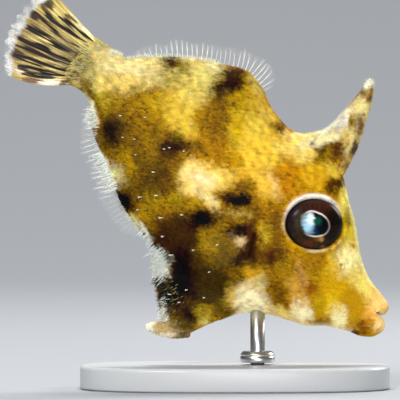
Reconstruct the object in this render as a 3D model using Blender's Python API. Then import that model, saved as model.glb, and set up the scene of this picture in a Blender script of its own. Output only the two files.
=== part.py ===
"""A life-size display model of an aiptasia-eating filefish, head down on a small stand.

All sizes are in millimetres, in the fish's own frame: s runs back from the foremost point of the
lower lip, h is the height over the body axis, y is the distance from the middle plane and is
positive on the fish's left. mesh_object() writes them in metres. The head points to +X.
"""

import math

import bmesh
import bpy
import numpy as np
from mathutils import Matrix, Vector

# Driving dimensions
METRES = 0.001
STANDARD_LENGTH = 44.5
GAP = 0.3
PITCH_DEG = 40.0
PIVOT_S = 17.0
PIVOT_FORWARD = 4.4
PIVOT_HEIGHT = 18.5

# Lines of the body, each a list of (s, value)
BACK_LINE = [
    (2.6, 1.3), (4.4, 1.72), (6.4, 2.62), (8.5, 4.25), (10.4, 5.85), (11.75, 6.75), (13.4, 8.0),
    (14.9, 8.95), (17.0, 9.3), (19.5, 9.25),
    (22.5, 8.85), (25.2, 9.35), (27.7, 10.5), (29.4, 10.75), (32.8, 9.45), (36.6, 7.1),
    (39.3, 4.9), (41.3, 3.05), (STANDARD_LENGTH, 3.05),
]
BELLY_LINE = [
    (2.6, -4.1), (5.1, -5.45), (7.2, -6.95), (8.95, -7.65), (10.65, -8.4), (12.1, -9.3),
    (13.2, -10.0), (15.5, -10.5),
    (20.0, -10.9), (25.0, -10.8), (28.5, -10.3), (31.5, -9.4), (34.0, -7.9), (35.7, -6.9),
    (37.5, -6.2), (38.9, -5.3), (40.0, -4.1), (41.3, -3.1), (42.5, -2.95), (STANDARD_LENGTH, -3.45),
]
HALF_WIDTH_LINE = [
    (2.6, 1.25), (4.5, 1.6), (6.5, 2.1), (9.5, 2.95), (12.5, 3.6), (16.0, 4.0), (20.0, 4.15),
    (24.0, 4.0), (28.0, 3.5), (32.0, 2.8), (36.0, 2.0), (40.0, 1.4), (STANDARD_LENGTH, 1.05),
]
WIDEST_HEIGHT_LINE = [
    (2.6, -1.3), (6.0, -1.6), (10.0, -1.0), (14.0, -0.4), (20.0, -0.6), (30.0, 0.2),
    (38.0, 0.0), (STANDARD_LENGTH, -0.2),
]
KEEL_SHARPNESS = 1.2
HALF_RING_STEPS = 16

# Where the body is parted
MUZZLE_S = 2.6
GILL_CUT_S = 17.6
STALK_CUT_S = 39.6

# Eye, nostrils and gill slit
EYE_S, EYE_H = 13.4, 2.5
EYE_HALF_LENGTH, EYE_HALF_HEIGHT, EYE_HALF_DEPTH = 3.28, 2.8, 1.65
EYE_TURN_DEG = 40.0
EYE_PROUD = 0.75
RIM_TUBE, RIM_OUTSET = 0.38, 0.4
NOSTRILS = [(8.25, 0.9), (7.75, 1.55)]
NOSTRIL_RADIUS = 0.24
SLIT_S, SLIT_H, SLIT_LENGTH, SLIT_WIDTH, SLIT_DEPTH = 16.6, -3.65, 2.9, 0.35, 1.1
SLIT_LEAN_DEG = -20.0

# First dorsal spine and its web
SPINE_ROOT = (15.1, 8.2)
SPINE_TIP = (18.75, 18.4)
SPINE_ROOT_RADIUS, SPINE_TIP_RADIUS = 0.72, 0.45
SPINE_BOW, SPINE_LONGER_THAN_WIDE = 0.45, 1.15
SPINE_BARBS, BARBS_FROM, BARBS_TO = 9, 0.3, 0.96
BARB_LENGTH, BARB_RADIUS = 0.62, 0.24
WEB_EDGE = [
    (21.6, 8.7), (20.7, 9.3), (19.95, 10.1), (19.2, 11.5), (18.75, 13.4), (18.9, 15.2), (19.0, 16.6),
]
WEB_FROM, WEB_TO = 0.03, 0.82
WEB_HALF_THICKNESS = 0.27

# Soft fins
FIN_ROOT_DEPTH = 0.8
FIN_HALF_THICKNESS, RIDGE_EXTRA, FIN_TIP_HALF_THICKNESS = 0.26, 0.1, 0.1
DORSAL_START, DORSAL_END, DORSAL_RAYS = 27.0, 40.4, 24
DORSAL_HEIGHT_LINE = [(27.0, 1.0), (28.2, 2.2), (31.0, 1.95), (36.0, 1.6), (39.5, 1.1), (40.4, 0.6)]
ANAL_START, ANAL_END, ANAL_RAYS = 27.4, 40.4, 22
ANAL_HEIGHT_LINE = [(27.4, 0.9), (28.8, 1.6), (33.0, 1.95), (37.0, 1.75), (39.4, 1.1), (40.4, 0.6)]
WAVE_REACH, WAVE_FULL_AT, WAVES_ALONG = 0.8, 2.5, 1.25

# Tail fin
TAIL_RAYS = 12
TAIL_ROOT_S, TAIL_ROOT_LOW, TAIL_ROOT_HIGH = 44.0, -3.2, 2.55
TAIL_LENGTHS = [(0.0, 7.2), (0.25, 8.5), (0.5, 9.2), (0.75, 9.2), (1.0, 8.5)]
TAIL_WEB_SHARE = 0.97
TAIL_ROOT_ANGLES = [(0.0, -47.0), (0.5, -12.0), (1.0, 6.0)]
TAIL_TIP_ANGLES = [(0.0, -14.0), (0.5, -16.0), (1.0, 9.0)]

# Pectoral fins
PECTORAL_S, PECTORAL_H = 18.7, -4.2
LOBE_SEMI_AXES = (0.85, 0.7, 1.2)
PECTORAL_RAYS, PECTORAL_LENGTH, PECTORAL_ROOT = 10, 3.9, 1.6
PECTORAL_SPREAD_DEG, PECTORAL_OUT_DEG, PECTORAL_DROOP_DEG = 58.0, 26.0, 40.0

# Ventral flap and the scales at the end of the pelvic bone
PELVIC_EDGE = [(13.0, -9.7), (13.9, -11.35), (14.65, -12.85), (15.5, -14.5), (16.5, -16.2), (17.6, -17.2)]
FLAP_REAR_EDGE = [
    (26.6, -9.6), (25.2, -11.3), (24.2, -12.4), (23.2, -13.5), (21.6, -14.7), (19.5, -16.5),
]
FLAP_EDGE_HALF_THICKNESS, FLAP_MIDDLE_HALF_THICKNESS, FLAP_ROOT_HALF_THICKNESS = 0.28, 0.75, 1.5
FLAP_INTO_BODY = 1.1
PELVIC_ROOT, PELVIC_TIP = (16.1, -15.5), (20.4, -18.05)
PELVIC_HALF_DEPTH, PELVIC_HALF_WIDTH = 0.85, 0.75
PELVIC_SCALES, SCALE_LENGTH, SCALE_RADIUS = 10, 0.85, 0.34

# Lips, each ring (s, low, high, half width) from the muzzle to the front
UPPER_LIP = [
    (2.3, -0.15, 1.25, 1.2), (1.9, -0.15, 1.15, 1.15), (1.45, -0.12, 0.9, 0.95), (1.15, 0.05, 0.5, 0.5),
]
LOWER_LIP = [
    (2.3, -3.95, -0.5, 1.2), (1.5, -3.55, -0.48, 1.15), (0.8, -3.05, -0.48, 1.0),
    (0.35, -2.4, -0.8, 0.75), (0.1, -1.95, -1.1, 0.35),
]

# Stand
BASE_LENGTH, BASE_WIDTH, BASE_THICKNESS, BASE_BEVEL = 34.0, 21.0, 2.6, 0.45
BASE_SIDES, BASE_SQUARENESS = 48, 2.6
ROD_X, ROD_RADIUS, ROD_TOP, ROD_SIDES = 2.5, 0.8, 11.5, 20
COLLAR_RADIUS, COLLAR_HEIGHT = 1.9, 1.2


def clear_scene():
    for obj in list(bpy.data.objects):
        bpy.data.objects.remove(obj)


def make_material(name, colour, roughness, metallic=0.0):
    material = bpy.data.materials.new(name)
    material.use_nodes = True
    shader = material.node_tree.nodes["Principled BSDF"]
    shader.inputs["Base Color"].default_value = (*colour, 1.0)
    shader.inputs["Roughness"].default_value = roughness
    shader.inputs["Metallic"].default_value = metallic
    material.diffuse_color = (*colour, 1.0)
    return material


def smooth_line(points):
    """A function through the points with no overshoot: a cubic whose slopes are limited ones."""
    xs, ys = (np.array(v, float) for v in zip(*points))
    step = np.diff(xs)
    slope = np.diff(ys) / step
    tangents = np.empty(len(xs))
    tangents[0], tangents[-1] = slope[0], slope[-1]
    for i in range(1, len(xs) - 1):
        before, after = slope[i - 1], slope[i]
        tangents[i] = 0.0 if before * after <= 0 else 2 * before * after / (before + after)

    def value(x):
        i = int(np.clip(np.searchsorted(xs, x) - 1, 0, len(step) - 1))
        t = (min(max(x, xs[0]), xs[-1]) - xs[i]) / step[i]
        return float(
            ys[i] * (1 + 2 * t) * (1 - t) ** 2 + tangents[i] * step[i] * t * (1 - t) ** 2
            + ys[i + 1] * t * t * (3 - 2 * t) + tangents[i + 1] * step[i] * t * t * (t - 1)
        )

    return value


def smooth_curve(points):
    """A function from 0..1 to a point on a smooth curve through the points, even in arc length."""
    flat = np.array(points, float)
    knots = np.concatenate([[0], np.cumsum(np.linalg.norm(np.diff(flat, axis=0), axis=1))])
    lines = [smooth_line(list(zip(knots / knots[-1], flat[:, k]))) for k in range(2)]
    return lambda t: (lines[0](t), lines[1](t))


back = smooth_line(BACK_LINE)
belly = smooth_line(BELLY_LINE)
half_width = smooth_line(HALF_WIDTH_LINE)
widest_height = smooth_line(WIDEST_HEIGHT_LINE)


def skin_point(s, angle, grow=0.0):
    """(s, y, h) on the body's skin. angle runs from -90 degrees at the belly to 90 at the back."""
    middle, width = widest_height(s), half_width(s) + grow
    if math.sin(angle) >= 0:
        reach = back(s) + grow - middle
    else:
        reach = middle - belly(s) + grow
    return s, width * max(0.0, math.cos(angle)) ** KEEL_SHARPNESS, middle + reach * math.sin(angle)


def side_of_skin(s, h):
    """Distance from the middle plane to the skin at a place in side view, and the outward normal."""
    def depth(s_at, h_at):
        middle = widest_height(s_at)
        reach = (back(s_at) - middle) if h_at >= middle else (middle - belly(s_at))
        share = min(1.0, abs(h_at - middle) / reach)
        return half_width(s_at) * (1 - share * share) ** (KEEL_SHARPNESS / 2)

    step = 0.1
    along = (depth(s + step, h) - depth(s - step, h)) / (2 * step)
    upward = (depth(s, h + step) - depth(s, h - step)) / (2 * step)
    # x runs against s, so a skin that widens backwards faces forwards
    return depth(s, h), Vector((along, 1.0, -upward)).normalized()


def place(s, y, h):
    """A point of the fish's frame as x, y, z."""
    return Vector((PIVOT_S - s, y, h))


def mesh_object(name, points, faces, material, parent=None):
    mesh = bpy.data.meshes.new(name)
    mesh.from_pydata([tuple(METRES * c for c in p) for p in points], [], faces)
    work = bmesh.new()
    work.from_mesh(mesh)
    bmesh.ops.recalc_face_normals(work, faces=work.faces)
    work.to_mesh(mesh)
    work.free()
    mesh.shade_smooth()
    mesh.set_sharp_from_angle(angle=math.radians(50))
    mesh.materials.append(material)
    obj = bpy.data.objects.new(name, mesh)
    obj.parent = parent
    bpy.context.scene.collection.objects.link(obj)
    return obj


def loft(name, rings, material, parent=None):
    """A closed solid through rings of points alike in number, with a fan at each end."""
    count = len(rings[0])
    points = [p for ring in rings for p in ring]
    faces = []
    for i in range(len(rings) - 1):
        for j in range(count):
            a, b = i * count + j, i * count + (j + 1) % count
            faces.append((a, b, b + count, a + count))
    for start, ring in ((0, rings[0]), ((len(rings) - 1) * count, rings[-1])):
        middle = len(points)
        points.append(sum((Vector(p) for p in ring), Vector()) / count)
        faces.extend((start + j, start + (j + 1) % count, middle) for j in range(count))
    return mesh_object(name, points, faces, material, parent)


def evaluated_mesh(obj):
    bpy.context.view_layer.update()
    graph = bpy.context.evaluated_depsgraph_get()
    return bpy.data.meshes.new_from_object(obj.evaluated_get(graph))


def apply_boolean(obj, others, operation):
    """Joins the others to obj, or cuts them from it, in one step, and removes them."""
    group = bpy.data.collections.new(f"{obj.name}_{operation.lower()}")
    bpy.context.scene.collection.children.link(group)
    for other in others:
        bpy.context.scene.collection.objects.unlink(other)
        group.objects.link(other)
    modifier = obj.modifiers.new(operation.title(), "BOOLEAN")
    modifier.operation = operation
    modifier.operand_type = "COLLECTION"
    modifier.collection = group
    modifier.solver = "EXACT"
    mesh = evaluated_mesh(obj)
    obj.modifiers.clear()
    obj.data = mesh
    for other in others:
        bpy.data.objects.remove(other)
    bpy.data.collections.remove(group)
    keep_largest(obj)


def keep_largest(obj):
    """Drops every closed surface but the one with the largest volume."""
    work = bmesh.new()
    work.from_mesh(obj.data)
    left, groups = set(work.verts), []
    while left:
        todo, group = [left.pop()], set()
        while todo:
            vert = todo.pop()
            group.add(vert)
            near = {edge.other_vert(vert) for edge in vert.link_edges} & left
            left -= near
            todo.extend(near)
        faces = {face for vert in group for face in vert.link_faces}
        volume = sum(f.calc_center_median().dot(f.normal) * f.calc_area() for f in faces)
        groups.append((volume, group))
    groups.sort(key=lambda item: item[0])
    for _, group in groups[:-1]:
        bmesh.ops.delete(work, geom=list(group), context="VERTS")
    work.to_mesh(obj.data)
    work.free()


def body_length(name, start, end, steps, material, parent, grow=0.0):
    """One length of the body between two stations."""
    rings = []
    for s in np.linspace(start - grow, end + grow, steps + 1):
        turns = [math.pi * (j / HALF_RING_STEPS - 0.5) for j in range(HALF_RING_STEPS + 1)]
        half = [skin_point(s, turn, grow) for turn in turns]
        ring = [place(*p) for p in half]
        ring += [place(s_at, -y, h) for s_at, y, h in half[-2:0:-1]]
        rings.append(ring)
    return loft(name, rings, material, parent)


def ellipsoid(name, centre, semi_axes, turn, material, parent, around=24, along=12):
    """A closed ellipsoid. turn is the rotation that is given to its own axes."""
    work = bmesh.new()
    bmesh.ops.create_uvsphere(work, u_segments=around, v_segments=along, radius=1.0)
    points = [centre + turn @ Vector((v.co[k] * semi_axes[k] for k in range(3))) for v in work.verts]
    faces = [[v.index for v in f.verts] for f in work.faces]
    work.free()
    return mesh_object(name, points, faces, material, parent)


def eye_frame(side):
    """The eye's centre and its turn: its own z looks out of the head, and its own x is its length."""
    depth, normal = side_of_skin(EYE_S, EYE_H)
    normal = Vector((normal.x, side * normal.y, normal.z))
    centre = place(EYE_S, side * depth, EYE_H) + normal * (EYE_PROUD - EYE_HALF_DEPTH)
    slant = math.radians(EYE_TURN_DEG)
    length = Vector((math.cos(slant), 0.0, math.sin(slant)))
    length = (length - normal * length.dot(normal)).normalized()
    height = normal.cross(length)
    return centre, Matrix((length, height, normal)).transposed()


def eyeball(name, side, grow, material, parent):
    centre, turn = eye_frame(side)
    sizes = (EYE_HALF_LENGTH + grow, EYE_HALF_HEIGHT + grow, EYE_HALF_DEPTH + grow)
    return ellipsoid(name, centre, sizes, turn, material, parent, around=28, along=11)


def eye_rim(side, material, parent):
    """The raised ring of skin round the eye."""
    depth, _ = side_of_skin(EYE_S, EYE_H)
    centre, turn = eye_frame(side)
    normal = turn @ Vector((0, 0, 1))
    at_skin = centre + normal * (EYE_HALF_DEPTH - EYE_PROUD - 0.1)
    around, tube = 32, 8
    points, faces = [], []
    for i in range(around):
        a = 2 * math.pi * i / around
        for j in range(tube):
            b = 2 * math.pi * j / tube
            out = RIM_OUTSET + RIM_TUBE * math.cos(b)
            local = Vector((
                (EYE_HALF_LENGTH + out) * math.cos(a),
                (EYE_HALF_HEIGHT + out) * math.sin(a),
                RIM_TUBE * math.sin(b),
            ))
            points.append(at_skin + turn @ local)
            faces.append((
                i * tube + j, ((i + 1) % around) * tube + j,
                ((i + 1) % around) * tube + (j + 1) % tube, i * tube + (j + 1) % tube,
            ))
    return mesh_object("rim", points, faces, material, parent)


def box_cutter(centre, sizes, turn, material, parent):
    corners = [(x, y, z) for x in (-1, 1) for y in (-1, 1) for z in (-1, 1)]
    points = [centre + turn @ Vector((c[k] * sizes[k] / 2 for k in range(3))) for c in corners]
    faces = [(0, 1, 3, 2), (4, 6, 7, 5), (0, 4, 5, 1), (2, 3, 7, 6), (0, 2, 6, 4), (1, 5, 7, 3)]
    return mesh_object("cutter", points, faces, material, parent)


def make_head(skin, parent):
    head = body_length("head", MUZZLE_S, GILL_CUT_S - GAP / 2, 20, skin, parent)
    apply_boolean(head, [eye_rim(side, skin, parent) for side in (-1, 1)], "UNION")
    cutters = []
    for side in (-1, 1):
        cutters.append(eyeball("socket", side, GAP, skin, parent))
        for s, h in NOSTRILS:
            depth, _ = side_of_skin(s, h)
            size = (NOSTRIL_RADIUS, NOSTRIL_RADIUS * 1.6, NOSTRIL_RADIUS)
            centre = place(s, side * depth, h)
            cutters.append(ellipsoid("pit", centre, size, Matrix.Identity(3), skin, parent, 10, 6))
        depth, _ = side_of_skin(SLIT_S, SLIT_H)
        turn = Matrix.Rotation(math.radians(SLIT_LEAN_DEG), 3, "Y")
        sizes = (SLIT_WIDTH, 2 * SLIT_DEPTH, SLIT_LENGTH)
        cutters.append(box_cutter(place(SLIT_S, side * depth, SLIT_H), sizes, turn, skin, parent))
    apply_boolean(head, cutters, "DIFFERENCE")
    return head


def pectoral_lobe(side, grow, material, parent):
    """The fleshy root of a pectoral fin."""
    depth, _ = side_of_skin(PECTORAL_S, PECTORAL_H)
    sizes = tuple(size + grow for size in LOBE_SEMI_AXES)
    centre = place(PECTORAL_S, side * (depth - 0.1), PECTORAL_H)
    return ellipsoid("lobe", centre, sizes, Matrix.Identity(3), material, parent, 16, 10)


def make_trunk(skin, parent):
    trunk = body_length("trunk", GILL_CUT_S + GAP / 2, STALK_CUT_S - GAP / 2, 26, skin, parent)
    apply_boolean(trunk, [pectoral_lobe(side, 0.0, skin, parent) for side in (-1, 1)], "UNION")
    return trunk


def grown_body(skin, parent):
    """The whole body larger by the gap, to cut the roots of what grows from it."""
    return body_length("grown", MUZZLE_S, STANDARD_LENGTH, 66, skin, parent, grow=GAP)


def sheet(name, columns, material, parent):
    """A closed thin solid from columns of (middle point, half thickness vector), root to tip.

    Both faces have the same diagonals, so that they can't cross.
    """
    rows, count = len(columns[0]), len(columns)
    points = [m + t for column in columns for m, t in column]
    points += [m - t for column in columns for m, t in column]
    back_face = rows * count
    faces = []
    for j in range(count - 1):
        for i in range(rows - 1):
            a, b, c, d = j * rows + i, (j + 1) * rows + i, (j + 1) * rows + i + 1, j * rows + i + 1
            faces += [(a, b, c), (a, c, d), (a + back_face, c + back_face, b + back_face),
                      (a + back_face, d + back_face, c + back_face)]
    border = [j * rows for j in range(count)]
    border += [(count - 1) * rows + i for i in range(1, rows)]
    border += [j * rows + rows - 1 for j in range(count - 2, -1, -1)]
    border += [i for i in range(rows - 2, 0, -1)]
    for a, b in zip(border, border[1:] + border[:1]):
        faces += [(a, b, b + back_face), (a, b + back_face, a + back_face)]
    return mesh_object(name, points, faces, material, parent)


def edge_fin(name, line, heights, start, end, rays, sign, phase, material, parent, rows=3):
    """A soft fin along the back (sign 1) or the belly (sign -1), its rays square to the body's edge."""
    height_at = smooth_line(heights)
    columns = []
    for j in range(2 * rays - 1):
        share = j / (2 * rays - 2)
        s = start + share * (end - start)
        step = 0.4
        slope = (line(s + step) - line(s - step)) / (2 * step)
        out = Vector((slope * sign, 0.0, sign)).normalized()
        on_ray = j % 2 == 0
        tall = height_at(s) * (1.0 if on_ray else 0.88)
        column = []
        for i in range(rows + 1):
            v = i / rows
            reach = -FIN_ROOT_DEPTH + v * (tall + FIN_ROOT_DEPTH)
            wave = math.sin(2 * math.pi * WAVES_ALONG * share + phase)
            side = WAVE_REACH * max(0.0, reach / WAVE_FULL_AT) ** 1.4 * wave
            root = FIN_HALF_THICKNESS + (RIDGE_EXTRA if on_ray else 0.0)
            tip = FIN_TIP_HALF_THICKNESS + (0.05 if on_ray else 0.0)
            thick = root + (tip - root) * v ** 3
            middle = place(s, 0.0, line(s)) + out * reach + Vector((0.0, side, 0.0))
            column.append((middle, Vector((0.0, thick, 0.0))))
        columns.append(column)
    return sheet(name, columns, material, parent)


def make_tail_fin(material, parent):
    """Twelve rays that fan out, the lowest ones bending up towards their ends."""
    root_angle, tip_angle = smooth_line(TAIL_ROOT_ANGLES), smooth_line(TAIL_TIP_ANGLES)
    length_at = smooth_line(TAIL_LENGTHS)
    columns, rows = [], 6
    for j in range(2 * TAIL_RAYS - 1):
        share = j / (2 * TAIL_RAYS - 2)
        on_ray = j % 2 == 0
        start, end = math.radians(root_angle(share)), math.radians(tip_angle(share))
        length = length_at(share) * (1.0 if on_ray else TAIL_WEB_SHARE)
        s, h = TAIL_ROOT_S, TAIL_ROOT_LOW + share * (TAIL_ROOT_HIGH - TAIL_ROOT_LOW)
        column = []
        for i in range(rows + 1):
            v = i / rows
            if i:
                angle = start + (end - start) * (v - 0.5 / rows)
                s += math.cos(angle) * length / rows
                h += math.sin(angle) * length / rows
            root = FIN_HALF_THICKNESS + 0.14 + (RIDGE_EXTRA if on_ray else 0.0)
            tip = FIN_TIP_HALF_THICKNESS + (0.06 if on_ray else 0.0)
            sway = 0.35 * v * v * math.sin(2.2 * math.pi * share)
            column.append((place(s, sway, h), Vector((0.0, root + (tip - root) * v ** 1.5, 0.0))))
        columns.append(column)
    return sheet("tail_fin", columns, material, parent)


def make_pectoral(side, material, parent):
    depth, _ = side_of_skin(PECTORAL_S, PECTORAL_H)
    root = place(PECTORAL_S + 0.35, side * (depth + 0.1), PECTORAL_H)
    out, droop = math.radians(PECTORAL_OUT_DEG), math.radians(PECTORAL_DROOP_DEG)
    level = math.cos(out)
    backwards = Vector((-level * math.cos(droop), side * math.sin(out), -level * math.sin(droop)))
    across = Vector((math.sin(droop), 0.0, -math.cos(droop)))
    normal = backwards.cross(across).normalized()
    columns, rows = [], 5
    for j in range(2 * PECTORAL_RAYS - 1):
        share = j / (2 * PECTORAL_RAYS - 2) - 0.5
        on_ray = j % 2 == 0
        angle = math.radians(PECTORAL_SPREAD_DEG) * share
        ahead = backwards * math.cos(angle) + across * math.sin(angle)
        length = PECTORAL_LENGTH * (1 - 0.9 * share * share) * (1.0 if on_ray else 0.95)
        column = []
        for i in range(rows + 1):
            v = i / rows
            thick = FIN_HALF_THICKNESS + (RIDGE_EXTRA if on_ray else 0.0)
            thick += (FIN_TIP_HALF_THICKNESS - thick) * v ** 2
            cup = normal * (-side * 0.5 * math.sin(math.pi * v) * (0.25 - share * share))
            middle = root + across * PECTORAL_ROOT * share + ahead * length * v + cup
            column.append((middle, normal * thick))
        columns.append(column)
    name = "pectoral_fin_left" if side > 0 else "pectoral_fin_right"
    return sheet(name, columns, material, parent)


def spine_centre(t):
    """A place on the middle line of the first dorsal spine, which bows a little forwards."""
    s, h = Vector(SPINE_ROOT).lerp(Vector(SPINE_TIP), t)
    return s - SPINE_BOW * math.sin(math.pi * t), h


def spine_shaft(name, grow, material, parent):
    """The first dorsal spine without its barbs."""
    steps, around = 10, 12
    rings = []
    for i in range(steps + 1):
        t = i / steps
        s, h = spine_centre(t)
        radius = SPINE_ROOT_RADIUS + (SPINE_TIP_RADIUS - SPINE_ROOT_RADIUS) * t + grow
        if i == steps:
            h += grow
            radius *= 0.6
        ring = []
        for j in range(around):
            a = 2 * math.pi * j / around
            ahead = radius * math.cos(a)
            ring.append(place(s + ahead * SPINE_LONGER_THAN_WIDE, radius * math.sin(a), h - 0.3 * ahead))
        rings.append(ring)
    return loft(name, rings, material, parent)


def cone(name, root, tip, radius, material, parent, sides=5):
    """A thorn from root to tip, with a small blunt end."""
    axis = (tip - root).normalized()
    first = axis.orthogonal().normalized()
    second = axis.cross(first)
    rings = []
    for centre, size in ((root, radius), (tip, radius * 0.15)):
        turns = [2 * math.pi * j / sides for j in range(sides)]
        rings.append([centre + (first * math.cos(a) + second * math.sin(a)) * size for a in turns])
    return loft(name, rings, material, parent)


def make_dorsal_spine(material, parent):
    """The shaft with two rows of barbs that point down along its rear edge."""
    spine = spine_shaft("dorsal_spine", 0.0, material, parent)
    barbs = []
    for t in np.linspace(BARBS_FROM, BARBS_TO, SPINE_BARBS):
        s, h = spine_centre(float(t))
        for side in (-1, 1):
            start = place(s, side * 0.1, h)
            end = start + Vector((0.12, side * (0.62 + 0.1 * (1 - t)), -0.45)) * (BARB_LENGTH / 0.6)
            barbs.append(cone("barb", start, end, BARB_RADIUS, material, parent))
    apply_boolean(spine, barbs, "UNION")
    return spine


def make_web(material, parent):
    """The web between the first spine and the back, with a hollow free edge."""
    edge = smooth_curve(WEB_EDGE)
    columns, across, rows = [], 6, 8
    for j in range(across + 1):
        share = j / across
        column = []
        for i in range(rows + 1):
            v = i / rows
            s0, h0 = spine_centre(WEB_FROM + (WEB_TO - WEB_FROM) * v)
            s1, h1 = edge(v)
            bow = 0.15 * math.sin(math.pi * share) * (1 - v)
            middle = place(s0 + (s1 - s0) * share, bow, h0 + (h1 - h0) * share)
            thick = WEB_HALF_THICKNESS * (1 - 0.45 * share ** 3)
            column.append((middle, Vector((0.0, thick, 0.0))))
        columns.append(column)
    return sheet("dorsal_spine_web", columns, material, parent)


def make_flap(skin, parent):
    """The flap of skin between the pelvic bone and the belly, thin at its rear edge."""
    front, rear = smooth_curve(PELVIC_EDGE), smooth_curve(FLAP_REAR_EDGE)
    columns, across, rows = [], 12, 8
    for j in range(across + 1):
        share = (1 - math.cos(math.pi * j / across)) / 2
        column = []
        for i in range(rows + 1):
            v = i / rows
            s0, h0 = front(v)
            s1, h1 = rear(v)
            middle_thick = FLAP_MIDDLE_HALF_THICKNESS
            middle_thick += (FLAP_ROOT_HALF_THICKNESS - FLAP_MIDDLE_HALF_THICKNESS) * (1 - v) ** 2.2
            round_front = min(1.0, math.sin(math.pi * min(share, 0.5)) ** 0.5) if share else 0.0
            thin_rear = 1 - 0.75 * share ** 1.5
            thick = max(FLAP_EDGE_HALF_THICKNESS, middle_thick * round_front * thin_rear)
            h = h0 + (h1 - h0) * share + FLAP_INTO_BODY * (1 - v)
            column.append((place(s0 + (s1 - s0) * share, 0.0, h), Vector((0.0, thick, 0.0))))
        columns.append(column)
    return sheet("ventral_flap", columns, skin, parent)


def pelvic_core(name, grow, material, parent):
    """The blunt spindle at the end of the pelvic bone."""
    root, tip = Vector(PELVIC_ROOT), Vector(PELVIC_TIP)
    along = (tip - root).normalized()
    across = Vector((-along.y, along.x))
    steps, around = 10, 14
    rings = []
    for i in range(steps + 1):
        t = i / steps
        swell = max(0.12, math.sin(math.pi * (0.1 + 0.84 * t)) ** 0.7)
        centre = root.lerp(tip, t) + along * grow * (2 * t - 1)
        ring = []
        for j in range(around):
            a = 2 * math.pi * j / around
            s, h = centre + across * (PELVIC_HALF_DEPTH * swell + grow) * math.sin(a)
            ring.append(place(s, (PELVIC_HALF_WIDTH * swell + grow) * math.cos(a), h))
        rings.append(ring)
    return loft(name, rings, material, parent)


def make_pelvic_scales(material, parent):
    """The spindle with a few rows of short thorns that point back."""
    core = pelvic_core("pelvic_scales", 0.0, material, parent)
    root, tip = Vector(PELVIC_ROOT), Vector(PELVIC_TIP)
    along = (tip - root).normalized()
    across = Vector((-along.y, along.x))
    thorns = []
    for i in range(PELVIC_SCALES):
        t = 0.3 + 0.62 * (i // 2) / (PELVIC_SCALES / 2 - 1)
        side = 1 if i % 2 else -1
        for lean in (-0.75, 0.1, 0.8):
            s, h = root.lerp(tip, t) + across * lean * 0.55
            start = place(s, side * 0.25, h)
            out = across * lean * 0.75 + along * 0.75
            end = start + Vector((-out.x, side * (0.9 - 0.5 * abs(lean)), out.y)) * SCALE_LENGTH
            thorns.append(cone("thorn", start, end, SCALE_RADIUS, material, parent))
    apply_boolean(core, thorns, "UNION")
    return core


def make_lip(name, rings, material, parent):
    around = 20
    made = []
    for s, low, high, width in rings:
        ring = []
        for j in range(around):
            a = 2 * math.pi * j / around
            ring.append(place(s, width * math.cos(a), (low + high) / 2 + (high - low) / 2 * math.sin(a)))
        made.append(ring)
    return loft(name, made, material, parent)


def superellipse(length, width, z, sides):
    ring = []
    for j in range(sides):
        a = 2 * math.pi * j / sides
        c, s = math.cos(a), math.sin(a)
        power = 2 / BASE_SQUARENESS
        ring.append(Vector((
            length / 2 * math.copysign(abs(c) ** power, c),
            width / 2 * math.copysign(abs(s) ** power, s),
            z,
        )))
    return ring


def make_stand(skin, stand_paint, steel, pose):
    trim = BASE_BEVEL
    rings = [
        superellipse(BASE_LENGTH - trim, BASE_WIDTH - trim, 0.0, BASE_SIDES),
        superellipse(BASE_LENGTH, BASE_WIDTH, trim / 2, BASE_SIDES),
        superellipse(BASE_LENGTH, BASE_WIDTH, BASE_THICKNESS - trim, BASE_SIDES),
        superellipse(BASE_LENGTH - 2 * trim, BASE_WIDTH - 2 * trim, BASE_THICKNESS, BASE_SIDES),
    ]
    loft("stand_base", rings, stand_paint)
    foot = BASE_THICKNESS + GAP

    def circle(radius, z):
        turns = [2 * math.pi * j / ROD_SIDES for j in range(ROD_SIDES)]
        return [Vector((ROD_X + radius * math.cos(a), radius * math.sin(a), z)) for a in turns]

    rod = loft("stand_rod", [circle(ROD_RADIUS, foot), circle(ROD_RADIUS, ROD_TOP)], steel)
    apply_boolean(rod, [grown_body(skin, pose)], "DIFFERENCE")
    inner = ROD_RADIUS + GAP
    profile = [(inner, foot), (COLLAR_RADIUS, foot), (COLLAR_RADIUS, foot + COLLAR_HEIGHT * 0.7),
               (COLLAR_RADIUS - 0.3, foot + COLLAR_HEIGHT), (inner, foot + COLLAR_HEIGHT)]
    points = [p for radius, z in profile for p in circle(radius, z)]
    faces = []
    for i in range(len(profile)):
        k = (i + 1) % len(profile)
        for j in range(ROD_SIDES):
            n = (j + 1) % ROD_SIDES
            faces.append((i * ROD_SIDES + j, i * ROD_SIDES + n, k * ROD_SIDES + n, k * ROD_SIDES + j))
    mesh_object("stand_collar", points, faces, steel)


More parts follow.
